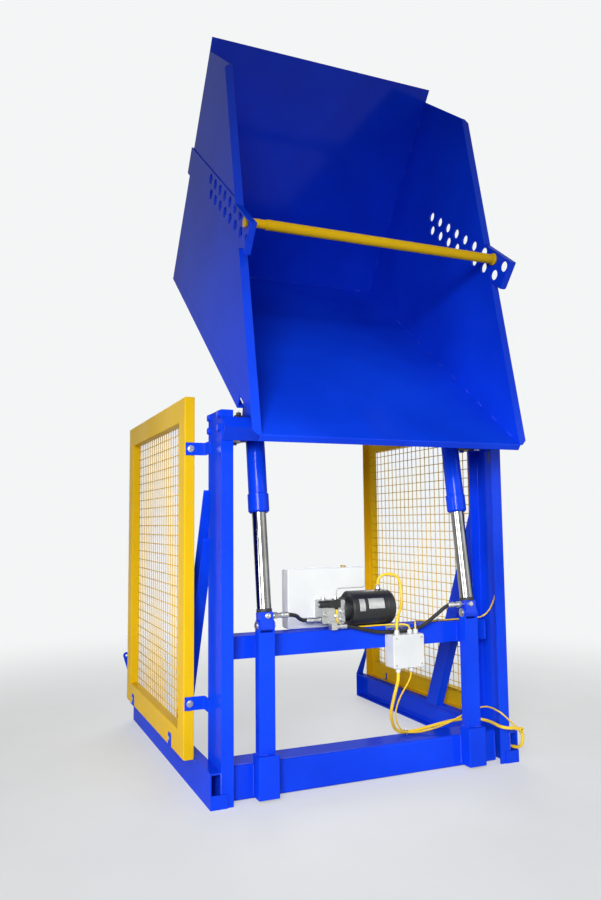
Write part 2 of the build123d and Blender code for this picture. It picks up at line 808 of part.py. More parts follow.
with BuildPart() as left_ram_block:
    with BuildSketch(ram_side.offset(-block_width / 2)):
        Circle(ram_block_radius)
        Rectangle(2 * ram_block_radius, ram_block_top, align=(Align.CENTER, Align.MIN))
        Circle(pin_diameter / 2 + running_fit, mode=Mode.SUBTRACT)
    extrude(amount=block_width)
    with BuildSketch(ram_side.offset(block_width / 2)):
        with Locations((0, port_height)):
            Circle(port_diameter / 2)
    extrude(amount=port_length)
    with BuildSketch(ram_side.offset(block_width / 2 + port_length - port_nut_inset)):
        with Locations((0, port_height)):
            RegularPolygon(port_nut_flats / 2, 6, major_radius=False)
    extrude(amount=-port_nut_length)
right_ram_block = mirrored(left_ram_block.part)

# Barrels: gland at the foot, closed cap and eye at the top
barrel_start = gland_start + gland_length
cap_start = ram_length - barrel_cap_gap
with BuildPart() as left_gland:
    with BuildSketch(ram_plane.offset(gland_start)):
        Circle(gland_diameter / 2)
        Circle(ram_diameter / 2 + running_fit, mode=Mode.SUBTRACT)
    extrude(amount=gland_length)
    gland_rims = left_gland.edges().filter_by(GeomType.CIRCLE).sort_by(SortBy.RADIUS)[-2:].sort_by(Axis.Z)
    chamfer(gland_rims[0], gland_bevel)
    chamfer(gland_rims[-1], gland_top_bevel)
right_gland = mirrored(left_gland.part)

with BuildPart() as left_barrel:
    with BuildSketch(ram_plane.offset(barrel_start)):
        Circle(barrel_diameter / 2)
    extrude(amount=cap_start - barrel_start)
    with BuildSketch(ram_plane.offset(barrel_start)):
        Circle(barrel_bore / 2)
    extrude(amount=cap_start - barrel_start - barrel_cap_thickness, mode=Mode.SUBTRACT)
    with BuildSketch(ram_side.offset(-barrel_eye_width / 2)):
        with Locations((0, ram_length)):
            Circle(barrel_eye_radius)
            Rectangle(2 * barrel_eye_radius, barrel_cap_gap, align=(Align.CENTER, Align.MAX))
            Circle(pin_diameter / 2 + running_fit, mode=Mode.SUBTRACT)
    extrude(amount=barrel_eye_width)
right_barrel = mirrored(left_barrel.part)

with BuildPart() as left_upper_pin:
    with BuildSketch(ram_side.offset(-barrel_eye_width / 2)):
        with Locations((0, ram_length)):
            Circle(pin_diameter / 2)
    extrude(amount=barrel_eye_width)
right_upper_pin = mirrored(left_upper_pin.part)

# Slide: the chute's back sheet with a bent lip
with BuildPart() as chute_slide:
    with BuildSketch(chute_plane.offset(-chute_outer)) as slide_section:
        Rectangle(slide_length + sheet, sheet, align=(Align.MIN, Align.MAX))
        Rectangle(sheet, lip_flange, align=(Align.MIN, Align.MAX))
        fillet(slide_section.vertices().sort_by_distance((0, 0))[0], lip_bend)
    extrude(amount=2 * chute_outer)

# Platform: the sheet that the load stands on
with BuildPart() as chute_platform:
    with BuildSketch(chute_plane.offset(-chute_outer)):
        with Locations((slide_length, 0)):
            Rectangle(sheet, platform_depth, align=(Align.MIN, Align.MIN))
    extrude(amount=2 * chute_outer)

# Side walls with an outward flange on the slanting free edge
high_holes = [
    (plate_front + first_hole + hole_pitch * k, plate_low + high_row) for k in range(high_row_count)
]
low_holes = [
    (plate_front + first_hole + hole_pitch * (k + 0.5), plate_low + low_row) for k in range(low_row_count)
]
bar_s, bar_n = high_holes[holes_before_bar_count]
edge_length = math.hypot(edge_run, wall_depth)
edge_dir = (slide_dir * edge_run + normal_dir * wall_depth) * (1 / edge_length)
edge_out = (normal_dir * edge_run - slide_dir * wall_depth) * (1 / edge_length)
edge_plane = Plane(origin=lip - Vector(chute_outer, 0, 0), x_dir=edge_dir, z_dir=edge_out)
wall_holes = [
    (s, n) for s, n in high_holes + low_holes if s - hole_diameter / 2 > edge_run * n / wall_depth
]
with BuildPart() as left_wall:
    with BuildSketch(chute_plane.offset(-chute_outer)):
        with BuildLine():
            wall_top_front = (edge_run, wall_depth)
            Polyline((0, 0), (slide_length, 0), (slide_length, wall_depth), wall_top_front, close=True)
        make_face()
    extrude(amount=sheet)
    with BuildSketch(edge_plane):
        with BuildLine():
            Polyline(
                (0, 0),
                (edge_length, 0),
                (edge_length, edge_flange - edge_flange_corner),
                (edge_length - edge_flange_corner, edge_flange),
                (edge_flange_corner, edge_flange),
                (0, edge_flange - edge_flange_corner),
                close=True,
            )
        make_face()
    extrude(amount=-sheet)
    with BuildSketch(chute_plane.offset(-chute_outer)):
        with Locations((0, plate_low - plate_gap)):
            Rectangle(slide_length, plate_depth + 2 * plate_gap, align=(Align.MIN, Align.MIN))
    extrude(amount=-edge_flange, mode=Mode.SUBTRACT)
    with BuildSketch(chute_plane.offset(-chute_outer)):
        with Locations(*wall_holes):
            Circle(hole_diameter / 2)
    extrude(amount=sheet, mode=Mode.SUBTRACT)
right_wall = mirrored(left_wall.part)

# Hole plates across the walls, with rims where they stand past the free edge
rim_foot = lip + slide_dir * plate_front + normal_dir * plate_low - Vector(plate_outer + plate_rim, 0, 0)
with BuildPart() as left_hole_plate:
    with BuildSketch(chute_plane.offset(-plate_outer)):
        with Locations((plate_front, plate_low)):
            Rectangle(stiffener_back - plate_front, plate_depth, align=(Align.MIN, Align.MIN))
    extrude(amount=sheet)
    with BuildSketch(chute_plane.offset(-plate_outer)):
        with Locations((plate_front, plate_low)):
            Rectangle(sheet, plate_depth, align=(Align.MIN, Align.MIN))
        with Locations((plate_front, plate_low + plate_depth)):
            Rectangle(plate_rim_length, sheet, align=(Align.MIN, Align.MAX))
    extrude(amount=-plate_rim)
    inner_uprights = left_hole_plate.edges().filter_by(Axis(lip, normal_dir)).group_by(Axis.X)[-1]
    fillet(inner_uprights.sort_by(Axis(lip, slide_dir))[0], plate_bend)
    rim_corners = left_hole_plate.edges().filter_by(Axis(lip, slide_dir))
    fillet(rim_corners.sort_by_distance(rim_foot)[0], plate_corner)
    with BuildSketch(chute_plane.offset(-plate_outer)):
        with Locations(*(high_holes + low_holes)):
            Circle(hole_diameter / 2)
    extrude(amount=sheet, mode=Mode.SUBTRACT)
right_hole_plate = mirrored(left_hole_plate.part)

# Stiffeners: a channel under the platform and two rails under the slide
with BuildPart() as platform_stiffener:
    with BuildSketch(chute_plane.offset(-chute_outer)):
        with Locations((slide_length + sheet, plate_low)):
            Rectangle(stiffener_depth, plate_depth, align=(Align.MIN, Align.MIN))
        with Locations((slide_length + sheet, plate_low + sheet)):
            room = (stiffener_depth - sheet, plate_depth - 2 * sheet)
            Rectangle(*room, align=(Align.MIN, Align.MIN), mode=Mode.SUBTRACT)
    extrude(amount=2 * chute_outer)

with BuildPart() as left_slide_rail:
    rail_start = pivot_s - chute_rail_setback
    rail_corner = lip + slide_dir * rail_start - normal_dir * (sheet + chute_rail_depth)
    rail_origin = rail_corner - Vector(chute_outer, 0, 0)
    rail_section = Plane(origin=rail_origin, x_dir=(1, 0, 0), z_dir=slide_dir * -1)
    section = channel(rail_section, chute_rail_depth, chute_rail_flange, sheet, sheet)
    extrude(section, amount=rail_start - slide_length - sheet)
slide_rails = pair(left_slide_rail.part)

# Pivot ears under the slide, with the shafts that turn in the pillow blocks
with BuildPart() as left_pivot_ear:
    with BuildSketch(chute_plane.offset(-ear_outer)) as ear_face:
        with Locations((pivot_s, pivot_n)):
            Circle(ear_radius)
        with Locations((pivot_s - ear_front, -sheet)):
            Rectangle(ear_front + ear_rear, sheet, align=(Align.MIN, Align.MAX))
        make_hull(ear_face.edges())
        with Locations((pivot_s, pivot_n)):
            Circle(shaft_diameter / 2 + running_fit, mode=Mode.SUBTRACT)
    extrude(amount=ear_thickness)
pivot_ears = pair(left_pivot_ear.part)

with BuildPart() as left_pivot_shaft:
    shaft_end = bearing_outer + collar_gap + collar_width + shaft_tail
    with BuildSketch(chute_plane.offset(-shaft_end)):
        with Locations((pivot_s, pivot_n)):
            Circle(shaft_diameter / 2)
    extrude(amount=shaft_end - ear_inner + shaft_overhang)
    with BuildSketch(chute_plane.offset(-bearing_outer - collar_gap)):
        with Locations((pivot_s, pivot_n)):
            Circle(collar_diameter / 2)
    extrude(amount=-collar_width)
pivot_shafts = pair(left_pivot_shaft.part)

# Ram brackets: two ears on a base under the slide, each holding its end of the pin
ear_gap = barrel_eye_width / 2 + bracket_gap
with BuildPart() as left_ram_bracket:
    base_half = ear_gap + 2 * bracket_ear_thickness
    with BuildSketch(chute_plane.offset(-ram_x - base_half)):
        with Locations((upper_pin_s - bracket_front, -sheet)):
            Rectangle(bracket_front + bracket_rear, bracket_base, align=(Align.MIN, Align.MAX))
    extrude(amount=2 * base_half)
    for ear_x in (-ram_x - ear_gap - bracket_ear_thickness, -ram_x + ear_gap):
        with BuildSketch(chute_plane.offset(ear_x)) as bracket_face_sketch:
            with Locations((upper_pin_s, upper_pin_n)):
                Circle(bracket_radius)
            with Locations((upper_pin_s - bracket_front, -sheet)):
                Rectangle(bracket_front + bracket_rear, bracket_base, align=(Align.MIN, Align.MAX))
            make_hull(bracket_face_sketch.edges())
            with Locations((upper_pin_s, upper_pin_n)):
                Circle(pin_diameter / 2 + running_fit, mode=Mode.SUBTRACT)
        extrude(amount=bracket_ear_thickness)
ram_brackets = pair(left_ram_bracket.part)

with BuildPart() as left_pin_ends:
    end_length = bracket_ear_thickness + pin_overhang
    for end_x in (-ram_x - ear_gap - end_length, -ram_x + ear_gap):
        with BuildSketch(chute_plane.offset(end_x)):
            with Locations((upper_pin_s, upper_pin_n)):
                Circle(pin_diameter / 2)
        extrude(amount=end_length)
upper_pin_ends = pair(left_pin_ends.part)

# Retaining bar: a tube with a necked head at one end, a round collar and spigot at the other
with BuildPart() as retaining_bar:
    bar_end = plate_outer + bar_overhang
    collar_x = chute_outer - bar_collar_gap - bar_collar_width
    head_radius = hole_diameter / 2 - bar_fit
    with BuildSketch(chute_plane.offset(-bar_end)):
        with Locations((bar_s, bar_n)):
            Circle(head_radius)
    extrude(amount=bar_head_length)
    with BuildSketch(chute_plane.offset(-bar_end)):
        with Locations((bar_s, bar_n)):
            Circle(bar_neck_diameter / 2)
    extrude(amount=bar_neck_end)
    with BuildSketch(chute_plane.offset(bar_neck_end - bar_end)):
        with Locations((bar_s, bar_n)):
            Circle(bar_diameter / 2)
    extrude(amount=bar_end - bar_neck_end + collar_x)
    with BuildSketch(chute_plane.offset(collar_x)):
        with Locations((bar_s, bar_n)):
            Circle(bar_collar_diameter / 2)
    extrude(amount=bar_collar_width)
    fillet(retaining_bar.edges().filter_by(GeomType.CIRCLE).sort_by(SortBy.RADIUS)[-2:], bar_collar_round)
    with BuildSketch(chute_plane.offset(collar_x + bar_collar_width)):
        with Locations((bar_s, bar_n)):
            Circle(head_radius)
    extrude(amount=bar_end - collar_x - bar_collar_width)
    with BuildSketch(chute_plane.offset(bar_end)):
        with Locations((bar_s, bar_n)):
            Circle(bar_diameter / 2 - bar_wall)
    extrude(amount=bar_neck_end + bar_wall - 2 * bar_end, mode=Mode.SUBTRACT)

# Pump motor: shell with its stator, end bell and turning rotor
motor_axis = Axis((0, motor_y, motor_z), (1, 0, 0))
with BuildPart() as motor_shell:
    with BuildSketch(Plane.YZ.offset(motor_left)):
        with Locations((motor_y, motor_z)):
            Circle(motor_radius)
    extrude(amount=motor_length)
    chamfer(motor_shell.edges().group_by(Axis.X)[0], motor_chamfer)
    with BuildSketch(Plane.YZ.offset(motor_left)):
        with Locations((motor_y, motor_z)):
            Circle(motor_flange_radius)
    extrude(amount=-motor_flange_length)
    with BuildSketch(Plane.XY.offset(middle_beam_top)):
        with Locations((foot_left, motor_y)):
            Rectangle(foot_width, foot_depth, align=(Align.MIN, Align.CENTER))
    extrude(amount=foot_height)
    with BuildSketch(Plane.XY.offset(motor_z)):
        with Locations((conduit_x, motor_y)):
            Circle(conduit_radius)
    extrude(amount=motor_radius + conduit_height)
    with BuildSketch(Plane.YZ.offset(motor_left + motor_end_wall)):
        with Locations((motor_y, motor_z)):
            Circle(stator_bore)
    extrude(amount=motor_length - motor_end_wall, mode=Mode.SUBTRACT)
    with BuildSketch(Plane.YZ.offset(manifold_right)):
        with Locations((motor_y, motor_z)):
            Circle(rotor_shaft / 2 + running_fit)
    extrude(amount=motor_flange_length + motor_end_wall, mode=Mode.SUBTRACT)

with BuildPart() as motor_end_bell:
    with BuildSketch(Plane.XZ.offset(-motor_y)) as bell_section:
        with Locations((motor_right, motor_z)):
            Rectangle(bell_length, motor_radius, align=(Align.MIN, Align.MIN))
        rim = bell_section.vertices().group_by(Axis.X)[-1].sort_by(Axis.Y)[-1]
        fillet(rim, bell_round)
    revolve(axis=motor_axis)
    with BuildSketch(Plane.YZ.offset(motor_right)):
        with Locations((motor_y, motor_z)):
            Circle(rotor_shaft / 2 + running_fit)
    extrude(amount=bell_bore_depth, mode=Mode.SUBTRACT)

with BuildPart() as motor_rotor:
    core_left = motor_left + motor_end_wall + rotor_end_gap
    with BuildSketch(Plane.YZ.offset(core_left)):
        with Locations((motor_y, motor_z)):
            Circle(stator_bore - rotor_gap)
    extrude(amount=motor_right - rotor_end_gap - core_left)
    with BuildSketch(Plane.YZ.offset(manifold_right + shaft_overhang)):
        with Locations((motor_y, motor_z)):
            Circle(rotor_shaft / 2)
    extrude(amount=motor_right + bell_bore_depth - manifold_right - 2 * shaft_overhang)

# Pump manifold with the two hose fittings
elbow_right = manifold_left + elbow_offset + elbow_width
elbow_z = middle_beam_top + elbow_lift
stub_y = manifold_y - elbow_reach + stub_inset
stub_z = elbow_z + stub_inset
side_port_y = front_y + side_port_depth
side_port_z = manifold_z + side_port_height
with BuildPart() as pump_manifold:
    with BuildSketch(Plane.XY.offset(manifold_z)):
        with Locations((manifold_left, manifold_y)):
            block = (manifold_width, manifold_rear - manifold_front)
            Rectangle(*block, align=(Align.MIN, Align.MIN))
    extrude(amount=manifold_height)
    chamfer(pump_manifold.edges().filter_by(Axis.Y), manifold_chamfer)
    with BuildSketch(Plane.XY.offset(elbow_z)):
        with Locations((elbow_right, manifold_y)):
            Rectangle(elbow_width, elbow_reach, align=(Align.MAX, Align.MAX))
    extrude(amount=elbow_height)
    with BuildSketch(Plane.YZ.offset(elbow_right)):
        with Locations((stub_y, stub_z)):
            Circle(stub_radius)
    extrude(amount=stub_length)
    with BuildSketch(Plane.YZ.offset(manifold_left)):
        with Locations((side_port_y, side_port_z)):
            Circle(stub_radius)
    extrude(amount=-side_port_length)

# Solenoid valve on the manifold's front: coil, body and plug
valve_y = manifold_y - valve_radius
valve_z = manifold_z + manifold_height - valve_drop
valve_left = manifold_left - valve_overhang
with BuildPart() as solenoid_valve:
    with BuildSketch(Plane.YZ.offset(valve_left)):
        with Locations((valve_y, valve_z)):
            Circle(valve_radius)
    extrude(amount=valve_length)
    with BuildSketch(Plane.YZ.offset(valve_left + valve_length - valve_body_lap)):
        with Locations((manifold_y, valve_z)):
            Rectangle(2 * valve_radius, 2 * valve_radius, align=(Align.MAX, Align.CENTER))
    extrude(amount=valve_body_width)
    with BuildSketch(Plane.YZ.offset(valve_left + valve_length - valve_body_lap + valve_body_width)):
        with Locations((manifold_y, valve_z)):
            plug = (valve_connector_depth, 2 * valve_radius + valve_connector_drop)
            Rectangle(*plug, align=(Align.MAX, Align.CENTER))
    extrude(amount=valve_connector_width)

# Oil reservoir with a neck over the motor, and its breather
tank_left = manifold_right - tank_gap - tank_width
with BuildPart() as reservoir:
    with BuildSketch(Plane.XZ.offset(-tank_y)) as tank_face:
        with Locations((tank_left, middle_beam_top)):
            Rectangle(tank_width, tank_height, align=(Align.MIN, Align.MIN))
        with Locations((tank_left + tank_width, middle_beam_top + tank_height)):
            Rectangle(tank_overhang, tank_height - tank_shelf, align=(Align.MIN, Align.MAX))
        fillet(tank_face.vertices(), tank_round)
    extrude(amount=-tank_depth)
    fillet(reservoir.faces().sort_by(Axis.Y)[0].edges(), tank_edge)

with BuildPart() as breather_cap:
    with BuildSketch(Plane.XY.offset(middle_beam_top + tank_height)):
        with Locations((breather_x, tank_y + tank_depth / 2)):
            Circle(breather_radius)
    extrude(amount=breather_height)
    chamfer(breather_cap.edges().group_by(Axis.Z)[-1], breather_chamfer)

# Control box, its lid, the strap behind it and the limit switch in the column
box_front = box_back - box_depth
box_bottom = box_top - box_height
entry_y = box_back - entry_depth
with BuildPart() as control_box:
    with BuildSketch(Plane.XZ.offset(-box_front)):
        with Locations((box_left + box_width / 2, box_top - box_height / 2)):
            RectangleRounded(box_width, box_height, box_round)
    extrude(amount=-box_depth)
    with BuildSketch(Plane.XZ.offset(-box_front)):
        with Locations((box_left + box_width / 2, box_top - box_height / 2)):
            room = (box_width - 2 * box_wall, box_height - 2 * box_wall)
            RectangleRounded(*room, box_round - box_wall)
    extrude(amount=box_wall - box_depth, mode=Mode.SUBTRACT)
    with BuildSketch(Plane.XY.offset(box_top)):
        with Locations(*[(x, entry_y) for x in top_entries]):
            Circle(entry_radius)
    extrude(amount=entry_length)
    with BuildSketch(Plane.XY.offset(box_bottom)):
        with Locations(*[(x, entry_y) for x in bottom_entries]):
            Circle(entry_radius)
    extrude(amount=-entry_length)

with BuildPart() as control_box_lid:
    with BuildSketch(Plane.XZ.offset(-box_front)):
        with Locations((box_left + box_width / 2, box_top - box_height / 2)):
            RectangleRounded(box_width, box_height, box_round)
    extrude(amount=lid_depth)
    fillet(control_box_lid.faces().sort_by(Axis.Y)[0].edges(), lid_round)

with BuildPart() as box_strap:
    with BuildSketch(Plane.XZ.offset(-middle_beam_y)):
        with Locations((strap_left, middle_beam_top)):
            Rectangle(strap_width, strap_height, align=(Align.MIN, Align.MAX))
        with Locations((strap_left + strap_width / 2, middle_beam_top - slot_drop)):
            with GridLocations(slot_pitch, slot_pitch, 3, 1):
                SlotOverall(slot_length, slot_width, mode=Mode.SUBTRACT)
    extrude(amount=strap_thickness)

switch_base = shelf_top - shelf_thickness - switch_gap - switch_height
with BuildPart() as limit_switch:
    with BuildSketch(Plane.XY.offset(switch_base)) as switch_section:
        with Locations((half_width - column_web, front_y + switch_centre)):
            Rectangle(switch_width, switch_depth, align=(Align.MAX, Align.CENTER))
        chamfer(switch_section.vertices().group_by(Axis.X)[0], switch_chamfer)
    extrude(amount=switch_height)

# Hose routes: across, depth behind the frame's front, height
port_depth = port_y - front_y
left_hose_end = manifold_left - side_port_length - hose_clearance
right_hose_end = elbow_right + stub_length + hose_clearance
left_hose_route = [
    (-port_x + hose_clearance, port_depth, port_z),
    (-449, port_depth, port_z),
    (-414.5, 39, 795),
    (-384.5, 58, 786.5),
    (-349.5, 99.5, 767),
    (-319.5, 118, 758.5),
    (-285, side_port_depth, side_port_z),
    (left_hose_end, side_port_depth, side_port_z),
]
right_hose_route = [
    (right_hose_end, stub_y - front_y, stub_z),
    (-122, stub_y - front_y, stub_z),
    (-88.5, 80, 719),
    (-33, 74.5, 704),
    (24.5, 68, 691),
    (62.5, 65, 685.5),
    (101, 63, 683.5),
    (168, 61.5, 683),
    (236.5, 60, 686),
    (278.5, 57, 696),
    (317.5, 52, 714.5),
    (364, 43, 749),
    (408.5, 33.5, 784.5),
    (430, 30.5, 794.5),
    (453, port_depth, port_z),
    (port_x - hose_clearance, port_depth, port_z),
]
with BuildPart() as left_hose:
    add(round_line("left_hose", left_hose_route, hose_diameter))
with BuildPart() as right_hose:
    add(round_line("right_hose", right_hose_route, hose_diameter))

# Cable routes: motor lead, valve lead and limit switch lead
entry_back = entry_y - front_y
entry_up = box_top + entry_length + hose_clearance
entry_down = box_bottom - entry_length - hose_clearance
valve_plug_z = valve_z - valve_radius - valve_connector_drop / 2
motor_lead_route = [
    (conduit_x, motor_depth, motor_z + motor_radius + conduit_height + hose_clearance),
    (conduit_x, motor_depth, 923),
    (112, 145.5, 945),
    (133, 137.5, 958),
    (171.5, 123.5, 958),
    (191, 114.5, 946.5),
    (202.5, 107.5, 926),
    (206, 101.5, 886),
    (204.5, 95, 845),
    (199, 87.5, 818.5),
    (188, 77.5, 794.5),
    (155.5, 51, 756.5),
    (145.5, 42.5, 735),
    (top_entries[0], entry_back, 711),
    (top_entries[0], entry_back, entry_up),
]
valve_lead_route = [
    (-152, 99.5, valve_plug_z - hose_clearance),
    (-153.5, 99.5, 780.5),
    (-150, 100, 750),
    (-145.5, 100.5, 734),
    (-134.5, 101, 720.5),
    (-118.5, 102, 713),
    (-65, 105, 711.6),
    (0, 107, 711.5),
    (50, 106.5, 711.8),
    (83, 105.5, 712.5),
    (104, 101, 713),
    (124, 93.5, 713.5),
    (162, 70.5, 716.5),
    (194, 50, 716.5),
    (207, 41.5, 709.5),
    (top_entries[1], entry_back, 698),
    (top_entries[1], entry_back, entry_up),
]
switch_cable_x = half_width - column_web - thin_diameter / 2 - hose_clearance
switch_lead_route = [
    (top_entries[2], entry_back, entry_up),
    (top_entries[2], entry_back, 706),
    (249.5, 45, 719.5),
    (257, 56.5, 726.5),
    (283.5, 98.5, 724),
    (305, 116, 722),
    (330.5, 126.5, 719.5),
    (382, 133.5, 714.5),
    (440, 136, 711.5),
    (515, 138, 711.6),
    (590, 139, 711.5),
    (648, 138.5, 711.6),
    (693, 135, 713),
    (717, 129, 720.5),
    (735, 119.5, 736),
    (745.5, 105, 759.5),
    (750, 87.5, 790),
    (751, 68, 826),
    (switch_cable_x, 52, 868),
    (switch_cable_x, switch_centre, 912),
    (switch_cable_x, switch_centre, switch_base - hose_clearance),
]
with BuildPart() as control_leads:
    add(round_line("motor_lead", motor_lead_route, lead_diameter))
    add(round_line("valve_lead", valve_lead_route, thin_diameter))
    add(round_line("switch_lead", switch_lead_route, thin_diameter))

# Supply cables from the box, over the lower beam and into the right rail
supply_route = [
    (bottom_entries[0], entry_back, entry_down),
    (bottom_entries[0], entry_back, 471.5),
    (142.5, 42, 445),
    (135.5, 61, 387),
    (135, 73.5, 358),
    (138.5, 105.5, 298.5),
    (143.5, 117.5, 275.5),
    (151.5, 129, 253.5),
    (180, 157, 201),
    (203, 167, 181),
    (232.5, 172, 168.5),
    (257.5, 172.5, 166),
    (300, 171, 167.5),
    (341.5, 168, 172),
    (400, 161, 182),
    (463, 153, 193.5),
    (520, 147.5, 201),
    (576, 142, 204),
    (621.5, 128.5, 204),
    (669.5, 103, 200),
    (683, 88, 198),
    (690, 69, 196.5),
    (691, 26, 194),
    (690.5, -15.5, 190),
    (705, -40, 187.5),
    (729.5, -54, 186),
    (762.5, -54, 185),
    (786.5, -54, 170.5),
    (800, -54, 146.5),
    (800, -54, 114),
    (798.5, -40, 89),
    (795.5, -15.5, 75),
    (788, 25, 74.5),
    (784, 70, 75),
]
control_route = [
    (bottom_entries[1], entry_back, entry_down),
    (bottom_entries[1], entry_back, 482.5),
    (209, 45.5, 444.5),
    (179.5, 71.5, 382),
    (169, 89, 340),
    (166, 110.5, 290),
    (172, 123, 257),
    (186, 134, 225.5),
    (209.5, 143.5, 193),
    (229, 147, 178.5),
    (252, 147.5, 170),
    (297, 144, 166.5),
    (343, 140.5, 168.5),
    (390, 137.5, 175),
    (437, 134.5, 183.5),
    (481.5, 130.5, 196),
    (531, 126, 214),
    (581, 120, 236),
    (618.5, 110.5, 250),
    (663, 92.5, 265),
    (677, 78.5, 269),
    (685.5, 60.5, 270),
    (688.5, 25, 268.5),
    (689, -8.5, 263.5),
    (695, -21, 258),
    (704.5, -28, 249),
    (735, -29, 222.5),
    (766.5, -28, 194),
    (774.5, -34, 186),
    (779.5, -44.5, 180.5),
    (control_end_x, -control_end_reach, control_end_z),
]
with BuildPart() as supply_cables:
    add(round_line("supply_cable", supply_route, supply_diameter))
    add(round_line("control_cable", control_route, thin_diameter))
    cable_end_y = front_y - control_end_reach - hose_clearance
    cable_end = Plane(origin=(control_end_x, cable_end_y, control_end_z), z_dir=(0, -1, 0))
    with BuildSketch(cable_end):
        Circle(cable_end_radius)
        Circle(thin_diameter / 2, mode=Mode.SUBTRACT)
    extrude(amount=cable_end_length)


def clip(plane, diameter):
    """Strap over a cable, its two feet on the plane's local x axis."""
    room = diameter + 2 * clip_room
    with BuildPart() as strap:
        with BuildSketch(plane):
            Rectangle(room + 2 * clip_wall, room + clip_wall, align=(Align.CENTER, Align.MIN))
            Rectangle(room, room, align=(Align.CENTER, Align.MIN), mode=Mode.SUBTRACT)
        extrude(amount=clip_width)
    return strap.part


# Clips that hold the cables to the beams and the column
beam_clip_x, beam_clip_depth, _ = supply_route[11]
lead_clip_x, lead_clip_depth, _ = switch_lead_route[8]
beam_clip_origin = (beam_clip_x - clip_width / 2, front_y + beam_clip_depth, lower_beam_top)
lead_clip_origin = (lead_clip_x - clip_width / 2, front_y + lead_clip_depth, middle_beam_top)
column_clip_origin = (half_width - column_web, front_y + switch_centre, clip_height)
beam_clip = Plane(origin=beam_clip_origin, x_dir=(0, 1, 0), z_dir=(1, 0, 0))
lead_clip = Plane(origin=lead_clip_origin, x_dir=(0, 1, 0), z_dir=(1, 0, 0))
column_clip = Plane(origin=column_clip_origin, x_dir=(0, 1, 0), z_dir=(0, 0, 1))
clip_solids = [
    clip(beam_clip, supply_diameter),
    clip(lead_clip, thin_diameter),
    clip(column_clip, thin_diameter),
]
with BuildPart() as cable_clips:
    add(clip_solids)

nodes = {
    "left_rail": left_rail,
    "right_rail": right_rail,
    "left_column": left_column,
    "right_column": right_column,
    "rail_end_plates": rail_end_plates,
    "lower_beam": lower_beam,
    "middle_beam": middle_beam,
    "top_beam": top_beam,
    "braces": braces,
    "left_post": left_post,
    "right_post": right_post,
    "post_sockets": post_sockets,
    "left_guard_frame": left_guard_frame,
    "right_guard_frame": right_guard_frame,
    "left_guard_mesh": left_guard_mesh,
    "right_guard_mesh": right_guard_mesh,
    "guard_brackets": guard_brackets,
    "bearing_brackets": bearing_brackets,
    "pillow_blocks": pillow_blocks,
    "frame_bolts": frame_bolts,
    "lower_pins": lower_pins,
    "motor_shell": motor_shell,
    "motor_end_bell": motor_end_bell,
    "motor_rotor": motor_rotor,
    "pump_manifold": pump_manifold,
    "solenoid_valve": solenoid_valve,
    "reservoir": reservoir,
    "breather_cap": breather_cap,
    "left_hose": left_hose,
    "right_hose": right_hose,
    "control_box": control_box,
    "control_box_lid": control_box_lid,
    "box_strap": box_strap,
    "limit_switch": limit_switch,
    "control_leads": control_leads,
    "supply_cables": supply_cables,
    "cable_clips": cable_clips,
    "chute_slide": chute_slide,
    "chute_platform": chute_platform,
    "left_wall": left_wall,
    "right_wall": right_wall,
    "left_hole_plate": left_hole_plate,
    "right_hole_plate": right_hole_plate,
    "platform_stiffener": platform_stiffener,
    "slide_rails": slide_rails,
    "pivot_ears": pivot_ears,
    "pivot_shafts": pivot_shafts,
    "ram_brackets": ram_brackets,
    "upper_pin_ends": upper_pin_ends,
    "retaining_bar": retaining_bar,
    "left_ram": left_ram,
    "right_ram": right_ram,
    "left_ram_block": left_ram_block,
    "right_ram_block": right_ram_block,
    "left_gland": left_gland,
    "right_gland": right_gland,
    "left_barrel": left_barrel,
    "right_barrel": right_barrel,
    "left_upper_pin": left_upper_pin,
    "right_upper_pin": right_upper_pin,
}
for name, piece in nodes.items():
    piece.part.label = name
    export_step(piece.part, f"parts/{name}.step")
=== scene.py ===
import json
import math

import bpy
from mathutils import Matrix, Vector


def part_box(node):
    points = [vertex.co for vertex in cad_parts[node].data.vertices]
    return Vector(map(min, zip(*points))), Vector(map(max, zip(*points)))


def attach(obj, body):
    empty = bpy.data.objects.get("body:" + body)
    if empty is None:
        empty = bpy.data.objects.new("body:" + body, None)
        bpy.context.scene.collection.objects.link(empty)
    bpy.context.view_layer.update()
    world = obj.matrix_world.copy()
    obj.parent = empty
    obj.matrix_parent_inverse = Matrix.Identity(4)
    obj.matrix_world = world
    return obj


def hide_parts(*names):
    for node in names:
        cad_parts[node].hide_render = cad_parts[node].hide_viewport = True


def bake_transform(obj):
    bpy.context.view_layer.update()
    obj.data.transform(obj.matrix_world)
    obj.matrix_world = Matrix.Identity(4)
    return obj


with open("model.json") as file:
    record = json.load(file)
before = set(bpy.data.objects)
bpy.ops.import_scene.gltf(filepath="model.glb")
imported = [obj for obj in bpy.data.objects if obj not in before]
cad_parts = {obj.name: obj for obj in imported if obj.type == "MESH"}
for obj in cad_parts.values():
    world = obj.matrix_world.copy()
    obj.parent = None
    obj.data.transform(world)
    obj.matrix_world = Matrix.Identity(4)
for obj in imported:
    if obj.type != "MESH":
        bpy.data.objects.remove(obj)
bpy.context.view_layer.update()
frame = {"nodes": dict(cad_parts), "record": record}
nodes = frame["nodes"]


# Finishes

# Noises: waves per metre, and how fine their detail is
SLOW_DRIFT, SCUFF_DRIFT, SCRATCHES = (1.7, 4), (30, 5), (9, 9)
DULL_PATCHES, ORANGE_PEEL = (5, 6), (75, 4)
METAL_DRIFT, MOULDED_DRIFT, PLATING_DRIFT, PLATING_GRAIN = (14, 4), (9, 4), (12, 4), (160, 2)
MIDDLE_RANGE = (0.3, 0.7)
EVEN, ALONG_X, ALONG_Z = (1, 1, 1), (14, 1, 1), (1, 1, 14)
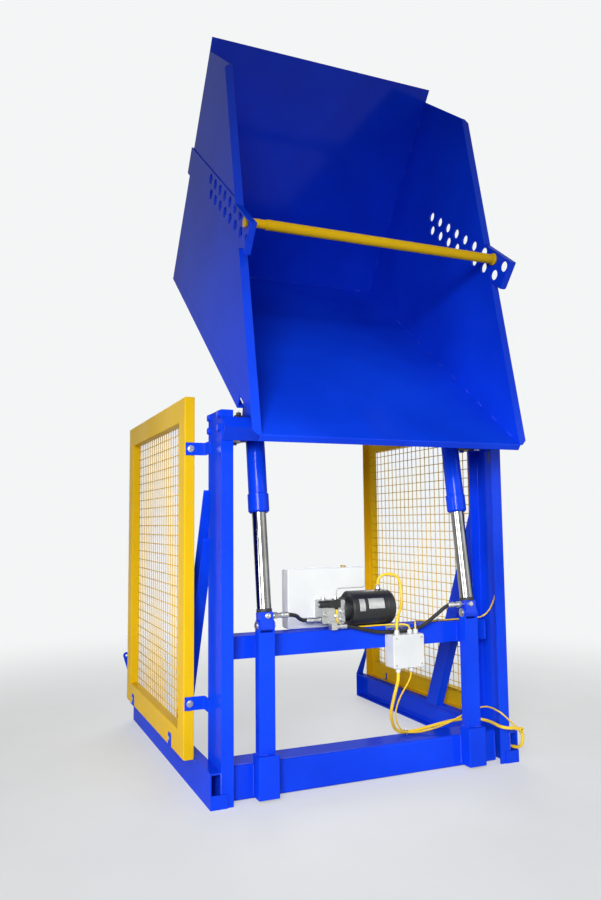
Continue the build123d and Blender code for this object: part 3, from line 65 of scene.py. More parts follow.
# The mix node's two inputs and its output, for colours and for values
MIX_SOCKETS = {"RGBA": (6, 7, 2), "FLOAT": (2, 3, 0)}


def new_finish(name):
    """A material with its node tree and its shader."""
    finish = bpy.data.materials.new(name)
    finish.use_nodes = True
    tree = finish.node_tree
    return finish, tree, tree.nodes["Principled BSDF"]


def place_noise(tree, scale, detail, stretch=EVEN):
    """Noise that is fixed to the piece, stretched along its axes."""
    coords = tree.nodes.new("ShaderNodeTexCoord")
    turn = tree.nodes.new("ShaderNodeMapping")
    turn.inputs["Scale"].default_value = stretch
    noise = tree.nodes.new("ShaderNodeTexNoise")
    noise.inputs["Scale"].default_value = scale
    noise.inputs["Detail"].default_value = detail
    tree.links.new(coords.outputs["Object"], turn.inputs["Vector"])
    tree.links.new(turn.outputs["Vector"], noise.inputs["Vector"])
    return noise.outputs["Fac"]


def tone(tree, source, deep, pale):
    """Colours between two tones, over the middle of a texture's range."""
    ramp = tree.nodes.new("ShaderNodeValToRGB")
    for stop, position, colour in zip(ramp.color_ramp.elements, MIDDLE_RANGE, (deep, pale)):
        stop.position = position
        stop.color = (*colour, 1)
    tree.links.new(source, ramp.inputs["Fac"])
    return ramp.outputs["Color"]


def spread(tree, source, low, high, taken=MIDDLE_RANGE):
    """The part of a texture's range that is taken, turned into a range of values."""
    span = tree.nodes.new("ShaderNodeMapRange")
    span.inputs["From Min"].default_value, span.inputs["From Max"].default_value = taken
    span.inputs["To Min"].default_value = low
    span.inputs["To Max"].default_value = high
    tree.links.new(source, span.inputs["Value"])
    return span.outputs["Result"]


def relief(tree, shader, source, strength, depth, edge=0.0):
    """Fine surface relief, over corners that are rounded by a small radius."""
    bump = tree.nodes.new("ShaderNodeBump")
    bump.inputs["Strength"].default_value = strength
    bump.inputs["Distance"].default_value = depth
    tree.links.new(source, bump.inputs["Height"])
    if edge:
        soften = tree.nodes.new("ShaderNodeBevel")
        soften.samples = 4
        soften.inputs["Radius"].default_value = edge
        tree.links.new(soften.outputs["Normal"], bump.inputs["Normal"])
    tree.links.new(bump.outputs["Normal"], shader.inputs["Normal"])
    tree.links.new(bump.outputs["Normal"], shader.inputs["Coat Normal"])


def mixed(tree, kind, mask, first, second):
    """Two colours or two values mixed by a mask."""
    mix = tree.nodes.new("ShaderNodeMix")
    mix.data_type = kind
    first_socket, second_socket, result = MIX_SOCKETS[kind]
    tree.links.new(mask, mix.inputs["Factor"])
    tree.links.new(first, mix.inputs[first_socket])
    tree.links.new(second, mix.inputs[second_socket])
    return mix.outputs[result]


def enamel(name, deep, pale, scuff, rough, gloss, coat, peel=0.20, edge=0.0025):
    """Sprayed paint: slow drift of tone, orange peel, duller patches and faint scuffs."""
    finish, tree, shader = new_finish(name)
    base = tone(tree, place_noise(tree, *SLOW_DRIFT), deep, pale)
    rub = tone(tree, place_noise(tree, *SCUFF_DRIFT), scuff, pale)
    streaks = place_noise(tree, *SCRATCHES, stretch=(1, 1, 5))
    scratches = spread(tree, streaks, 0.0, 0.5, taken=(0.62, 0.8))
    tree.links.new(mixed(tree, "RGBA", scratches, base, rub), shader.inputs["Base Color"])
    patches = place_noise(tree, *DULL_PATCHES)
    tree.links.new(spread(tree, patches, *rough), shader.inputs["Roughness"])
    shader.inputs["Specular IOR Level"].default_value = gloss
    shader.inputs["Coat Weight"].default_value = coat
    shader.inputs["Coat Roughness"].default_value = 0.12
    relief(tree, shader, place_noise(tree, *ORANGE_PEEL), peel, depth=0.0010, edge=edge)
    return finish


def bare_metal(name, deep, pale, rough, scale, stretch, strength, edge=0.0008):
    """Machined or plated metal with a grain along one axis."""
    finish, tree, shader = new_finish(name)
    grain = place_noise(tree, scale, 6, stretch)
    tint = place_noise(tree, *METAL_DRIFT)
    tree.links.new(tone(tree, tint, deep, pale), shader.inputs["Base Color"])
    tree.links.new(spread(tree, grain, *rough), shader.inputs["Roughness"])
    shader.inputs["Metallic"].default_value = 1.0
    relief(tree, shader, grain, strength, depth=0.0004, edge=edge)
    return finish


def moulded(name, deep, pale, rough, scale, strength, edge=0.0015):
    """Plastic, rubber or casting with a fine grain."""
    finish, tree, shader = new_finish(name)
    tint = place_noise(tree, *MOULDED_DRIFT)
    tree.links.new(tone(tree, tint, deep, pale), shader.inputs["Base Color"])
    tree.links.new(spread(tree, tint, *rough), shader.inputs["Roughness"])
    shader.inputs["Specular IOR Level"].default_value = 0.4
    relief(tree, shader, place_noise(tree, scale, 3), strength, depth=0.0006, edge=edge)
    return finish


def part_painted(name, near, far, axis, limit):
    """Two finishes on one node: near up to a distance in metres along an axis, far beyond it.

    Each is its deep tone, pale tone, roughness range and whether it is bare metal.
    """
    finish, tree, shader = new_finish(name)
    coords = tree.nodes.new("ShaderNodeTexCoord")
    split = tree.nodes.new("ShaderNodeSeparateXYZ")
    size = tree.nodes.new("ShaderNodeMath")
    size.operation = "ABSOLUTE"
    beyond = tree.nodes.new("ShaderNodeMath")
    beyond.operation = "GREATER_THAN"
    beyond.inputs[1].default_value = limit
    tree.links.new(coords.outputs["Object"], split.inputs["Vector"])
    tree.links.new(split.outputs[axis], size.inputs[0])
    tree.links.new(size.outputs["Value"], beyond.inputs[0])
    mask = beyond.outputs["Value"]
    drift = place_noise(tree, *PLATING_DRIFT)
    colours = [tone(tree, drift, deep, pale) for deep, pale, _, _ in (near, far)]
    gloss = [spread(tree, drift, *rough) for _, _, rough, _ in (near, far)]
    tree.links.new(mixed(tree, "RGBA", mask, *colours), shader.inputs["Base Color"])
    tree.links.new(mixed(tree, "FLOAT", mask, *gloss), shader.inputs["Roughness"])
    bare = spread(tree, mask, near[3], far[3], taken=(0, 1))
    tree.links.new(bare, shader.inputs["Metallic"])
    shader.inputs["Specular IOR Level"].default_value = 0.3
    relief(tree, shader, place_noise(tree, *PLATING_GRAIN), 0.1, depth=0.0008, edge=0.0012)
    return finish


# Tones, deep and pale, and for sprayed paint also where it is scuffed
BLUE = ((0.0023, 0.037, 0.61), (0.0043, 0.058, 0.80), (0.012, 0.065, 0.58))
YELLOW = ((0.72, 0.43, 0.006), (0.80, 0.50, 0.010), (0.68, 0.44, 0.06))
BLACK = ((0.008, 0.009, 0.010), (0.016, 0.017, 0.019), (0.04, 0.04, 0.042))
CHROME = ((0.20, 0.20, 0.195), (0.28, 0.28, 0.27))
ZINC = ((0.46, 0.47, 0.47), (0.62, 0.62, 0.60))
STEEL = ((0.34, 0.34, 0.35), (0.48, 0.48, 0.48))
BRASS = ((0.60, 0.40, 0.13), (0.72, 0.51, 0.20))
IRON = ((0.012, 0.012, 0.013), (0.028, 0.028, 0.030))
RUBBER = ((0.008, 0.008, 0.008), (0.018, 0.018, 0.018))
TANK = ((0.70, 0.72, 0.70), (0.75, 0.77, 0.75))
BOX = ((0.60, 0.62, 0.62), (0.68, 0.69, 0.69))
COIL = ((0.010, 0.010, 0.010), (0.022, 0.022, 0.022))
CABLE = ((0.80, 0.50, 0.010), (0.90, 0.60, 0.030))
SHELF = ((0.010, 0.010, 0.011), (0.022, 0.022, 0.024))

guard_gloss = {"rough": (0.28, 0.44), "gloss": 0.02, "coat": 0.05}
thin_coat = {"peel": 0.02, "edge": 0}
blue = enamel("gloss_blue", *BLUE, rough=(0.22, 0.38), gloss=0.0, coat=0.20)
weld_blue = enamel("weld_blue", *BLUE, rough=(0.14, 0.24), gloss=0.5, coat=0.20, **thin_coat)
yellow = enamel("guard_yellow", *YELLOW, **guard_gloss)
wire_yellow = enamel("wire_yellow", *YELLOW, **guard_gloss, **thin_coat)
black = enamel("motor_black", *BLACK, rough=(0.28, 0.45), gloss=0.4, coat=0.10)
chrome = bare_metal("ram_chrome", *CHROME, (0.07, 0.16), scale=60, stretch=ALONG_Z, strength=0.04)
zinc = bare_metal("zinc_plate", *ZINC, (0.24, 0.42), scale=120, stretch=EVEN, strength=0.10)
steel = bare_metal("turned_steel", *STEEL, (0.22, 0.4), scale=90, stretch=ALONG_X, strength=0.10)
brass = bare_metal("breather_brass", *BRASS, (0.2, 0.36), scale=120, stretch=EVEN, strength=0.08)
iron = moulded("cast_black", *IRON, (0.45, 0.65), scale=160, strength=0.30)
hose_rubber = moulded("hose_rubber", *RUBBER, (0.36, 0.52), scale=260, strength=0.25, edge=0)
tank_white = moulded("tank_white", *TANK, (0.3, 0.42), scale=120, strength=0.06, edge=0.004)
box_grey = moulded("box_grey", *BOX, (0.35, 0.5), scale=320, strength=0.15, edge=0.002)
plastic_black = moulded("coil_black", *COIL, (0.3, 0.46), scale=240, strength=0.15)
cable_yellow = moulded("cable_yellow", *CABLE, (0.30, 0.44), scale=200, strength=0.10, edge=0)

# Bolts are blue from the bearings up, the rams' ports are plated, the bearings' shelves are black
BEARING_FOOT, PORT_END, SHELF_END = 1.59, 0.5175, 0.70
plated = (*ZINC, (0.26, 0.42), 1)
painted_blue = (*BLUE[:2], (0.25, 0.40), 0)
painted_black = (*SHELF, (0.35, 0.5), 0)
bolt_finish = part_painted("bolt_finish", plated, painted_blue, "Z", BEARING_FOOT)
block_finish = part_painted("ram_block_finish", plated, painted_blue, "X", PORT_END)
bracket_finish = part_painted("bearing_bracket_finish", painted_black, painted_blue, "X", SHELF_END)

finish_of_slot = {
    "yellow_paint": yellow,
    "blue_paint": blue,
    "chrome": chrome,
    "zinc": zinc,
    "steel": steel,
    "black_paint": black,
    "black_cast": iron,
    "hose_rubber": hose_rubber,
    "cable_yellow": cable_yellow,
    "tank_white": tank_white,
    "box_white": box_grey,
    "plastic_black": plastic_black,
    "brass": brass,
}
finish_of_node = {
    "frame_bolts": bolt_finish,
    "left_ram_block": block_finish,
    "right_ram_block": block_finish,
    "bearing_brackets": bracket_finish,
}
slot_of = {part["node"]: part["material_slot"] for part in frame["record"]["subparts"]}
for name, node in nodes.items():
    node.data.materials.clear()
    node.data.materials.append(finish_of_node.get(name, finish_of_slot[slot_of[name]]))


# Camera at the photograph's place

yaw, pitch, roll = (math.radians(angle) for angle in (23.10, 5.454, -0.562))
ahead = Vector((math.sin(yaw) * math.cos(pitch), math.cos(yaw) * math.cos(pitch), math.sin(pitch)))
level = Vector((math.cos(yaw), -math.sin(yaw), 0))
upright = level.cross(ahead)
right = level * math.cos(roll) + upright * math.sin(roll)
top = upright * math.cos(roll) - level * math.sin(roll)
camera_turn = Matrix((right, top, -ahead)).transposed().to_euler()
bpy.ops.object.camera_add(location=(-1.7774, -4.1295, 1.2153), rotation=camera_turn)
camera = bpy.context.object
camera.data.sensor_fit = "VERTICAL"
camera.data.sensor_height = 36
camera.data.lens = 30.72
camera.data.clip_end = 200
bpy.context.scene.camera = camera
bpy.context.scene.view_settings.view_transform = "Standard"


# Hoses and cables: across, depth behind the frame's front, height, in mm

FRONT = -845


def cord_point(across, depth, height):
    """A route point in the part's frame, in metres."""
    return Vector((across / 1000, (FRONT + depth) / 1000, height / 1000))


def behind_front(across, depth, height):
    """A route point in the part's frame, in mm."""
    return across, FRONT + depth, height


def cord_curve(name, route, diameter):
    """A smooth round line along a route."""
    line = bpy.data.curves.new(name, "CURVE")
    line.dimensions = "3D"
    line.resolution_u = 8
    line.bevel_depth = diameter / 2000
    line.bevel_resolution = 4
    line.use_fill_caps = True
    spline = line.splines.new("NURBS")
    spline.points.add(len(route) - 1)
    for point, stop in zip(spline.points, route):
        point.co = (*cord_point(*stop), 1)
    spline.order_u = 3
    spline.use_endpoint_u = True
    piece = bpy.data.objects.new(name, line)
    bpy.context.scene.collection.objects.link(piece)
    return piece


def cable(name, route, diameter, node):
    """A yellow cable that is carried by the frame."""
    piece = cord_curve(name, route, diameter)
    piece.data.materials.append(cable_yellow)
    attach(piece, "frame")
    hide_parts(node)
    return piece


def hose(name, route, diameter, length, node, ram, near_end, ram_end):
    """A hose between the pump and a ram's port."""
    guide = cord_curve(name + "_guide", route, diameter)
    guide.data.bevel_depth = 0
    centres = bpy.data.meshes.new_from_object(guide)
    guide.data.bevel_depth = diameter / 2000
    bpy.ops.object.select_all(action="DESELECT")
    guide.select_set(True)
    bpy.context.view_layer.objects.active = guide
    bpy.ops.object.convert(target="MESH")
    piece = bpy.context.object
    piece.name = name
    bpy.ops.object.shade_smooth_by_angle(angle=math.radians(60))
    piece.data.materials.clear()
    piece.data.materials.append(hose_rubber)
    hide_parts(node)
    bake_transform(piece)


PORT_DEPTH, PORT_HEIGHT = 29.346, 799.581
left_hose_route = [
    (-471.5, PORT_DEPTH, PORT_HEIGHT),
    (-451, PORT_DEPTH, PORT_HEIGHT),
    (-427, 31, 798.5),
    (-400, 38, 794.5),
    (-376, 60, 786),
    (-349.5, 97, 768.5),
    (-326, 116, 759.5),
    (-300, 126, 755.5),
    (-280, 128, 754),
    (-262.5, 128, 754),
]
right_hose_route = [
    (-149.5, 82, 723),
    (-122, 82, 723),
    (-88.5, 80.5, 720),
    (-33, 74.5, 704),
    (24.5, 68, 691),
    (62.5, 65, 685.5),
    (101, 63, 683.5),
    (168, 61.5, 683),
    (236.5, 60, 686),
    (278.5, 57, 696),
    (317.5, 52, 714.5),
    (364, 43, 749),
    (398, 35, 776),
    (418, 31.5, 791),
    (436, 29.8, 798),
    (453, PORT_DEPTH, PORT_HEIGHT),
    (471.5, PORT_DEPTH, PORT_HEIGHT),
]
motor_lead_route = [
    (100, 150, 904.5),
    (100, 150, 923),
    (112, 145.5, 945),
    (133, 137.5, 958),
    (171.5, 123.5, 958),
    (191, 114.5, 946.5),
    (202.5, 107.5, 926),
    (206, 101.5, 886),
    (204.5, 95, 845),
    (199, 87.5, 818.5),
    (188, 77.5, 794.5),
    (155.5, 51, 756.5),
    (145.5, 42.5, 735),
    (140, 38, 711),
    (140, 38, 686.5),
]
valve_lead_route = [
    (-152, 99.5, 810),
    (-153.5, 99.5, 780.5),
    (-150, 100, 750),
    (-145.5, 100.5, 734),
    (-134.5, 101, 720.5),
    (-118.5, 102, 713),
    (-65, 105, 711.6),
    (0, 107, 711.5),
    (50, 106.5, 711.8),
    (83, 105.5, 712.5),
    (104, 101, 713),
    (124, 93.5, 713.5),
    (162, 70.5, 716.5),
    (194, 50, 716.5),
    (207, 41.5, 709.5),
    (213, 38, 698),
    (213, 38, 686.5),
]
switch_lead_route = [
    (245, 38, 686.5),
    (245, 38, 706),
    (249.5, 45, 719.5),
    (257, 56.5, 726.5),
    (283.5, 98.5, 724),
    (305, 116, 722),
    (330.5, 126.5, 719.5),
    (382, 133.5, 714.5),
    (440, 136, 711.5),
    (515, 138, 711.6),
    (590, 139, 711.5),
    (648, 138.5, 711.6),
    (693, 135, 713),
    (717, 129, 720.5),
    (735, 119.5, 736),
    (745.5, 105, 759.5),
    (750, 87.5, 790),
    (751, 68, 826),
    (751.5, 52, 868),
    (751.5, 45, 912),
    (751.5, 45, 1529.5),
]
supply_route = [
    (144, 38, 497.5),
    (144, 38, 471.5),
    (142.5, 42, 445),
    (135.5, 61, 387),
    (135, 73.5, 358),
    (138.5, 105.5, 298.5),
    (143.5, 117.5, 275.5),
    (151.5, 129, 253.5),
    (180, 157, 201),
    (203, 167, 181),
    (232.5, 172, 168.5),
    (257.5, 172.5, 166),
    (300, 171, 167.5),
    (341.5, 168, 172),
    (400, 161, 182),
    (463, 153, 193.5),
    (520, 147.5, 201),
    (576, 142, 204),
    (621.5, 128.5, 204),
    (669.5, 103, 200),
    (683, 88, 198),
    (690, 69, 196.5),
    (691, 26, 194),
    (690.5, -15.5, 190),
    (705, -40, 187.5),
    (729.5, -54, 186),
    (762.5, -54, 185),
    (786.5, -54, 170.5),
    (800, -54, 146.5),
    (800, -54, 114),
    (798.5, -40, 89),
    (795.5, -15.5, 75),
    (788, 25, 74.5),
    (784, 70, 75),
]
control_route = [
    (217, 38, 497.5),
    (217, 38, 482.5),
    (209, 45.5, 444.5),
    (179.5, 71.5, 382),
    (169, 89, 340),
    (166, 110.5, 290),
    (172, 123, 257),
    (186, 134, 225.5),
    (209.5, 143.5, 193),
    (229, 147, 178.5),
    (252, 147.5, 170),
    (297, 144, 166.5),
    (343, 140.5, 168.5),
    (390, 137.5, 175),
    (437, 134.5, 183.5),
    (481.5, 130.5, 196),
    (531, 126, 214),
    (581, 120, 236),
    (618.5, 110.5, 250),
    (663, 92.5, 265),
    (677, 78.5, 269),
    (685.5, 60.5, 270),
    (688.5, 25, 268.5),
    (689, -8.5, 263.5),
    (695, -21, 258),
    (704.5, -28, 249),
    (735, -29, 222.5),
    (766.5, -28, 194),
    (774.5, -34, 186),
    (779.5, -44.5, 180.5),
    (780, -62, 178),
]

# Diameters in mm, and two points along each hose towards its ram's port
HOSE, MOTOR_LEAD, THIN_LEAD, SUPPLY = 19, 14, 8, 16
left_bend = ((-300, 126, 755.5), (-445, 30, 799))
right_bend = ((300, 54, 705), (445, 30, 799))
hose("left_hose_line", left_hose_route, HOSE, 0.246, "left_hose", "left_ram", *left_bend)
hose("right_hose_line", right_hose_route, HOSE, 0.659, "right_hose", "right_ram", *right_bend)
motor_lead = cable("motor_lead_line", motor_lead_route, MOTOR_LEAD, "control_leads")
valve_lead = cable("valve_lead_line", valve_lead_route, THIN_LEAD, "control_leads")
switch_lead = cable("switch_lead_line", switch_lead_route, THIN_LEAD, "control_leads")
supply_cable = cable("supply_cable_line", supply_route, SUPPLY, "supply_cables")
control_cable = cable("control_cable_line", control_route, THIN_LEAD, "supply_cables")


# Small pieces, modelled on the Z axis in mm and then set down in place

def turned(name, steps, sides=24):
    """A turned or hexagon piece round the Z axis: each step is a height and a radius."""
    bpy.ops.object.select_all(action="DESELECT")
    height, radius = steps[0]
    bpy.ops.mesh.primitive_circle_add(vertices=sides, radius=radius / 1000, fill_type="NGON")
    piece = bpy.context.object
    piece.name = name
    bpy.ops.object.mode_set(mode="EDIT")
    bpy.ops.mesh.select_all(action="SELECT")
    bpy.ops.transform.translate(value=(0, 0, height / 1000))
    for next_height, next_radius in steps[1:]:
        rise = (0, 0, (next_height - height) / 1000)
        share = next_radius / radius
        bpy.ops.mesh.extrude_region_move(TRANSFORM_OT_translate={"value": rise})
        bpy.ops.transform.resize(value=(share, share, 1), center_override=(0, 0, 0))
        height, radius = next_height, next_radius
    bpy.ops.mesh.select_all(action="SELECT")
    bpy.ops.mesh.normals_make_consistent(inside=False)
    bpy.ops.object.mode_set(mode="OBJECT")
    return piece


def applied(piece, kind, **settings):
    """A modifier put on a piece and applied."""
    bpy.context.view_layer.objects.active = piece
    modifier = piece.modifiers.new("shaping", kind)
    for setting, value in settings.items():
        setattr(modifier, setting, value)
    bpy.ops.object.modifier_apply(modifier="shaping")


def repeated(piece, step, count):
    """A row of copies in one mesh, each a step in metres from the last."""
    applied(
        piece,
        "ARRAY",
        use_relative_offset=False,
        use_constant_offset=True,
        constant_offset_displace=step,
        count=count,
    )


def eased(piece, width):
    """Small rounding on a piece's sharp edges."""
    sharp = math.radians(35)
    applied(piece, "BEVEL", width=width / 1000, segments=2, limit_method="ANGLE", angle_limit=sharp)
    bpy.ops.object.shade_smooth_by_angle(angle=math.radians(40))
    return piece


def as_one(name, *pieces):
    """Several shapes joined into one piece."""
    bpy.ops.object.select_all(action="DESELECT")
    for piece in pieces:
        piece.select_set(True)
    bpy.context.view_layer.objects.active = pieces[0]
    bpy.ops.object.join()
    pieces[0].name = name
    return pieces[0]


def set_down(piece, spot, along):
    """Turns a piece's axis along a direction and puts its foot on a spot in mm."""
    bpy.ops.object.select_all(action="DESELECT")
    piece.select_set(True)
    bpy.context.view_layer.objects.active = piece
    turn = Vector(along).to_track_quat("Z", "Y")
    piece.matrix_world = Matrix.LocRotScale(Vector(spot) / 1000, turn, None)
    bpy.ops.object.transform_apply(location=True, rotation=True, scale=True)


def dressed(piece, body, finish):
    """Gives a piece its finish and the body that carries it."""
    piece.data.materials.clear()
    piece.data.materials.append(finish)
    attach(piece, body)


def fitted(pattern, finish, spots):
    """Copies a pattern to each spot, direction and body, then takes the pattern away."""
    name = pattern.name
    pattern.name = name + "_pattern"
    pieces = []
    for number, (spot, along, body) in enumerate(spots, 1):
        bpy.ops.object.select_all(action="DESELECT")
        pattern.select_set(True)
        bpy.context.view_layer.objects.active = pattern
        bpy.ops.object.duplicate()
        piece = bpy.context.object
        piece.name = f"{name}_{number}"
        set_down(piece, spot, along)
        dressed(piece, body, finish)
        pieces.append(piece)
    bpy.data.objects.remove(pattern)
    return pieces


LEFT, RIGHT = (-1, 0, 0), (1, 0, 0)
TOWARD, AWAY = (0, -1, 0), (0, 1, 0)
UP, DOWN = (0, 0, 1), (0, 0, -1)
SIDES = {-1: "left", 1: "right"}

# Crimped ends of the hoses
ferrule_steps = [(0, 10), (4, 10), (4, 13.2), (6, 13.8), (14, 13.8)]
ferrule_steps += [(15, 12.9), (17, 12.9), (18, 13.8), (24, 13.8)]
ferrule_steps += [(25, 12.9), (27, 12.9), (28, 13.8), (36, 13.8), (38, 12.6), (40, 10.5)]
ferrule_spots = [
    (behind_front(*left_hose_route[0]), RIGHT, "left_ram"),
    (behind_front(*right_hose_route[-1]), LEFT, "right_ram"),
    (behind_front(*left_hose_route[-1]), LEFT, "frame"),
    (behind_front(*right_hose_route[0]), RIGHT, "frame"),
]
fitted(turned("hose_ferrule", ferrule_steps), zinc, ferrule_spots)


def gland(name, cable_radius):
    """Cable gland: a hexagon foot and a domed cap that grips the cable."""
    foot = turned(name, [(0, 14.4), (7, 14.4)], sides=6)
    eased(foot, 0.8)
    rim = [(22, cable_radius + 1.4), (22, cable_radius)]
    cap = turned(name + "_cap", [(6, 12.6), (15, 12.6), (19, 11), *rim])
    eased(cap, 0.5)
    return as_one(name, foot, cap)


# Glands on the control box, the motor, the valve plug and the limit switch
entry_y, box_top, box_foot = FRONT + 38, 672, 512
motor_spots = [((140, entry_y, box_top), UP, "frame")]
fitted(gland("motor_lead_gland", MOTOR_LEAD / 2), box_grey, motor_spots)
thin_spots = [((x, entry_y, box_top), UP, "frame") for x in (213, 245)]
thin_spots += [((217, entry_y, box_foot), DOWN, "frame")]
fitted(gland("thin_lead_gland", THIN_LEAD / 2), box_grey, thin_spots)
supply_spots = [((144, entry_y, box_foot), DOWN, "frame")]
fitted(gland("supply_gland", SUPPLY / 2), box_grey, supply_spots)
conduit_spots = [(behind_front(100, 150, 884), UP, "frame")]
fitted(gland("conduit_connector", MOTOR_LEAD / 2), zinc, conduit_spots)
lead_collar = eased(turned("lead_collar", [(0, 7.5), (6, 7.5), (10, 5), (10, 4)]), 0.6)
lead_ends = ((-152, 99.5, 811), (751.5, 45, 1531))
lead_collar_spots = [(behind_front(*end), DOWN, "frame") for end in lead_ends]
fitted(lead_collar, plastic_black, lead_collar_spots)

# Ring on the end of the control cable, with a black disc in its recess as painted shade
ring_steps = [(0, 5), (0, 9), (2, 11.4), (5, 12), (9, 12), (12, 11.4), (14, 9.6)]
ring_steps += [(14, 5.6), (6, 5.2)]
ring = eased(turned("cable_end_ring", ring_steps), 0.5)
ring_spots = [((780, -907.5, 178), TOWARD, "frame")]
end_pieces = fitted(ring, cable_yellow, ring_spots)
# A black disc deep in the ring's recess: painted shade for the recess's dark inside, not a part of
# the cable end
shade_disc = turned("cable_end_shade_disc", [(0, 5.1), (3, 5.1), (3, 3), (1, 2.6)])
shade_disc_spots = [((780, -913.8, 178), TOWARD, "frame")]
end_pieces += fitted(shade_disc, plastic_black, shade_disc_spots)

# Screws of the box lid and of the motor's end
screw_steps = [(0, 4.6), (1.6, 4.6), (2.6, 3.6), (2.6, 2), (1.2, 1.8)]
lid_spots = [((x, -830, z), TOWARD, "frame") for x in (124, 264) for z in (528, 656)]
fitted(eased(turned("lid_screw", screw_steps), 0.3), steel, lid_spots)
motor_y, motor_z, motor_end, bolt_circle = -695, 796, -75, 71
end_spots = []
for angle in (math.radians(turn) for turn in (45, 135, 225, 315)):
    end_y = motor_y + bolt_circle * math.cos(angle)
    end_z = motor_z + bolt_circle * math.sin(angle)
    end_spots.append(((motor_end, end_y, end_z), LEFT, "frame"))
end_bolt = eased(turned("motor_end_bolt", [(0, 7), (5, 7), (5, 4), (3.6, 4)], sides=6), 0.5)
fitted(end_bolt, black, end_spots)

# Band where the motor's shell meets its end bell
band_steps = [(0, 86.2), (1.5, 87.4), (7, 87.4), (8.5, 86.2), (8.5, 60), (0.5, 60)]
band = turned("motor_band", band_steps, sides=72)
band_spots = [((115.5, motor_y, motor_z), RIGHT, "frame")]
fitted(eased(band, 0.3), black, band_spots)

# Bare plates on the motor, with rivets
PLATE_RADIUS, RIVET_RADIUS, RIVET_INSET, RIVET_ANGLE = 86.3, 86.8, 5, 4


def motor_plate(name, first, last, low, high):
    """A bare plate bent round the motor between two distances and two angles."""
    bpy.ops.object.select_all(action="DESELECT")
    bpy.ops.mesh.primitive_cylinder_add(
        vertices=120,
        radius=PLATE_RADIUS / 1000,
        depth=(last - first) / 1000,
        end_fill_type="NOTHING",
        location=((first + last) / 2000, motor_y / 1000, motor_z / 1000),
        rotation=(0, math.pi / 2, 0),
    )
    piece = bpy.context.object
    piece.name = name
    bpy.ops.object.transform_apply(location=True, rotation=True, scale=True)
    centre = (0, motor_y / 1000, motor_z / 1000)
    bpy.ops.object.mode_set(mode="EDIT")
    for angle, lower in ((math.radians(low), True), (math.radians(high), False)):
        bpy.ops.mesh.select_all(action="SELECT")
        across = (0, math.sin(angle), math.cos(angle))
        kept = {"clear_inner": lower, "clear_outer": not lower}
        bpy.ops.mesh.bisect(plane_co=centre, plane_no=across, **kept)
    bpy.ops.object.mode_set(mode="OBJECT")
    applied(piece, "SOLIDIFY", thickness=0.0007, offset=1)
    bpy.ops.object.shade_smooth_by_angle(angle=math.radians(30))
    dressed(piece, "frame", zinc)


plate_spans = {
    "motor_small_plate": (-44, -13, -4, 36),
    "motor_large_plate": (6, 92, 2, 36),
}
for plate, span in plate_spans.items():
    motor_plate(plate, *span)
rivet_spots = []
for first, last, low, high in plate_spans.values():
    for x in (first + RIVET_INSET, last - RIVET_INSET):
        for angle in (low + RIVET_ANGLE, high - RIVET_ANGLE):
            out = (0, -math.cos(math.radians(angle)), math.sin(math.radians(angle)))
            rivet_spot = (x, motor_y + RIVET_RADIUS * out[1], motor_z + RIVET_RADIUS * out[2])
            rivet_spots.append((rivet_spot, out, "frame"))
rivet = eased(turned("plate_rivet", [(0, 2.2), (0.6, 2), (1.0, 1.2)], sides=12), 0.2)
fitted(rivet, steel, rivet_spots)

# Plugs on the manifold, the nut on the valve's coil and the hoses' adapters
front_plugs = ((-207, 778), (-150, 768), (-122, 790), (-122, 752))
plug_spots = [((x, -740, z), TOWARD, "frame") for x, z in front_plugs]
plug_spots += [((x, -690, 845), UP, "frame") for x in (-200, -135)]
plug_foot = eased(turned("manifold_plug", [(0, 13), (3, 13), (3, 11)]), 0.5)
plug_head = eased(turned("plug_head", [(0, 10.5), (11, 10.5), (11, 5), (6, 5)], sides=6), 0.7)
fitted(as_one("manifold_plug", plug_foot, plug_head), zinc, plug_spots)
coil_nut = eased(turned("coil_nut", [(0, 12), (9, 12), (9, 6), (13, 6)], sides=6), 0.7)
fitted(coil_nut, zinc, [((-250, -757.5, 830.5), LEFT, "frame")])
hex_adapter = eased(turned("hose_adapter", [(0, 15), (14, 15), (14, 12)], sides=6), 0.8)
adapter_spots = [(behind_front(-229, 128, 754), LEFT, "frame")]
adapter_spots += [(behind_front(-165, 82, 723), RIGHT, "frame")]
fitted(hex_adapter, zinc, adapter_spots)

# Fittings on the front of the ram blocks
fitting_foot = eased(turned("ram_fitting", [(0, 12), (5, 12), (5, 9.5), (14, 9.5)]), 0.5)
nut_steps = [(7, 13), (16, 13), (16, 7), (19, 7), (19, 4), (16, 4)]
fitting_nut = eased(turned("ram_fitting_nut", nut_steps, sides=6), 0.7)
block_front = (0, -0.99, 0.14)
fitting_spots = [
    ((side * 545, -841, 802), block_front, f"{word}_ram") for side, word in SIDES.items()
]
fitted(as_one("ram_fitting", fitting_foot, fitting_nut), zinc, fitting_spots)

# Black collars at the foot of the rams' rods
PIN_Y, PIN_Z = -821.5, 759
ram_foot, ram_lean = Vector((549, PIN_Y, PIN_Z)), Vector((0, 5.846, 40.581)).normalized()
collar_foot = ram_foot + ram_lean * 58
rod_collar_spots = [((-collar_foot.x, collar_foot.y, collar_foot.z), ram_lean, "left_ram")]
rod_collar_spots += [(collar_foot, ram_lean, "right_ram")]
rod_collar_steps = [(0, 36), (13, 36), (15, 35), (15, 33.6)]
rod_collar = eased(turned("rod_collar", rod_collar_steps, sides=48), 0.4)
fitted(rod_collar, iron, rod_collar_spots)

# Blue lugs over the notches of the guards, each with its bolt
LUG_SIZE, LUG_CORNER = (3, 62, 66), 14


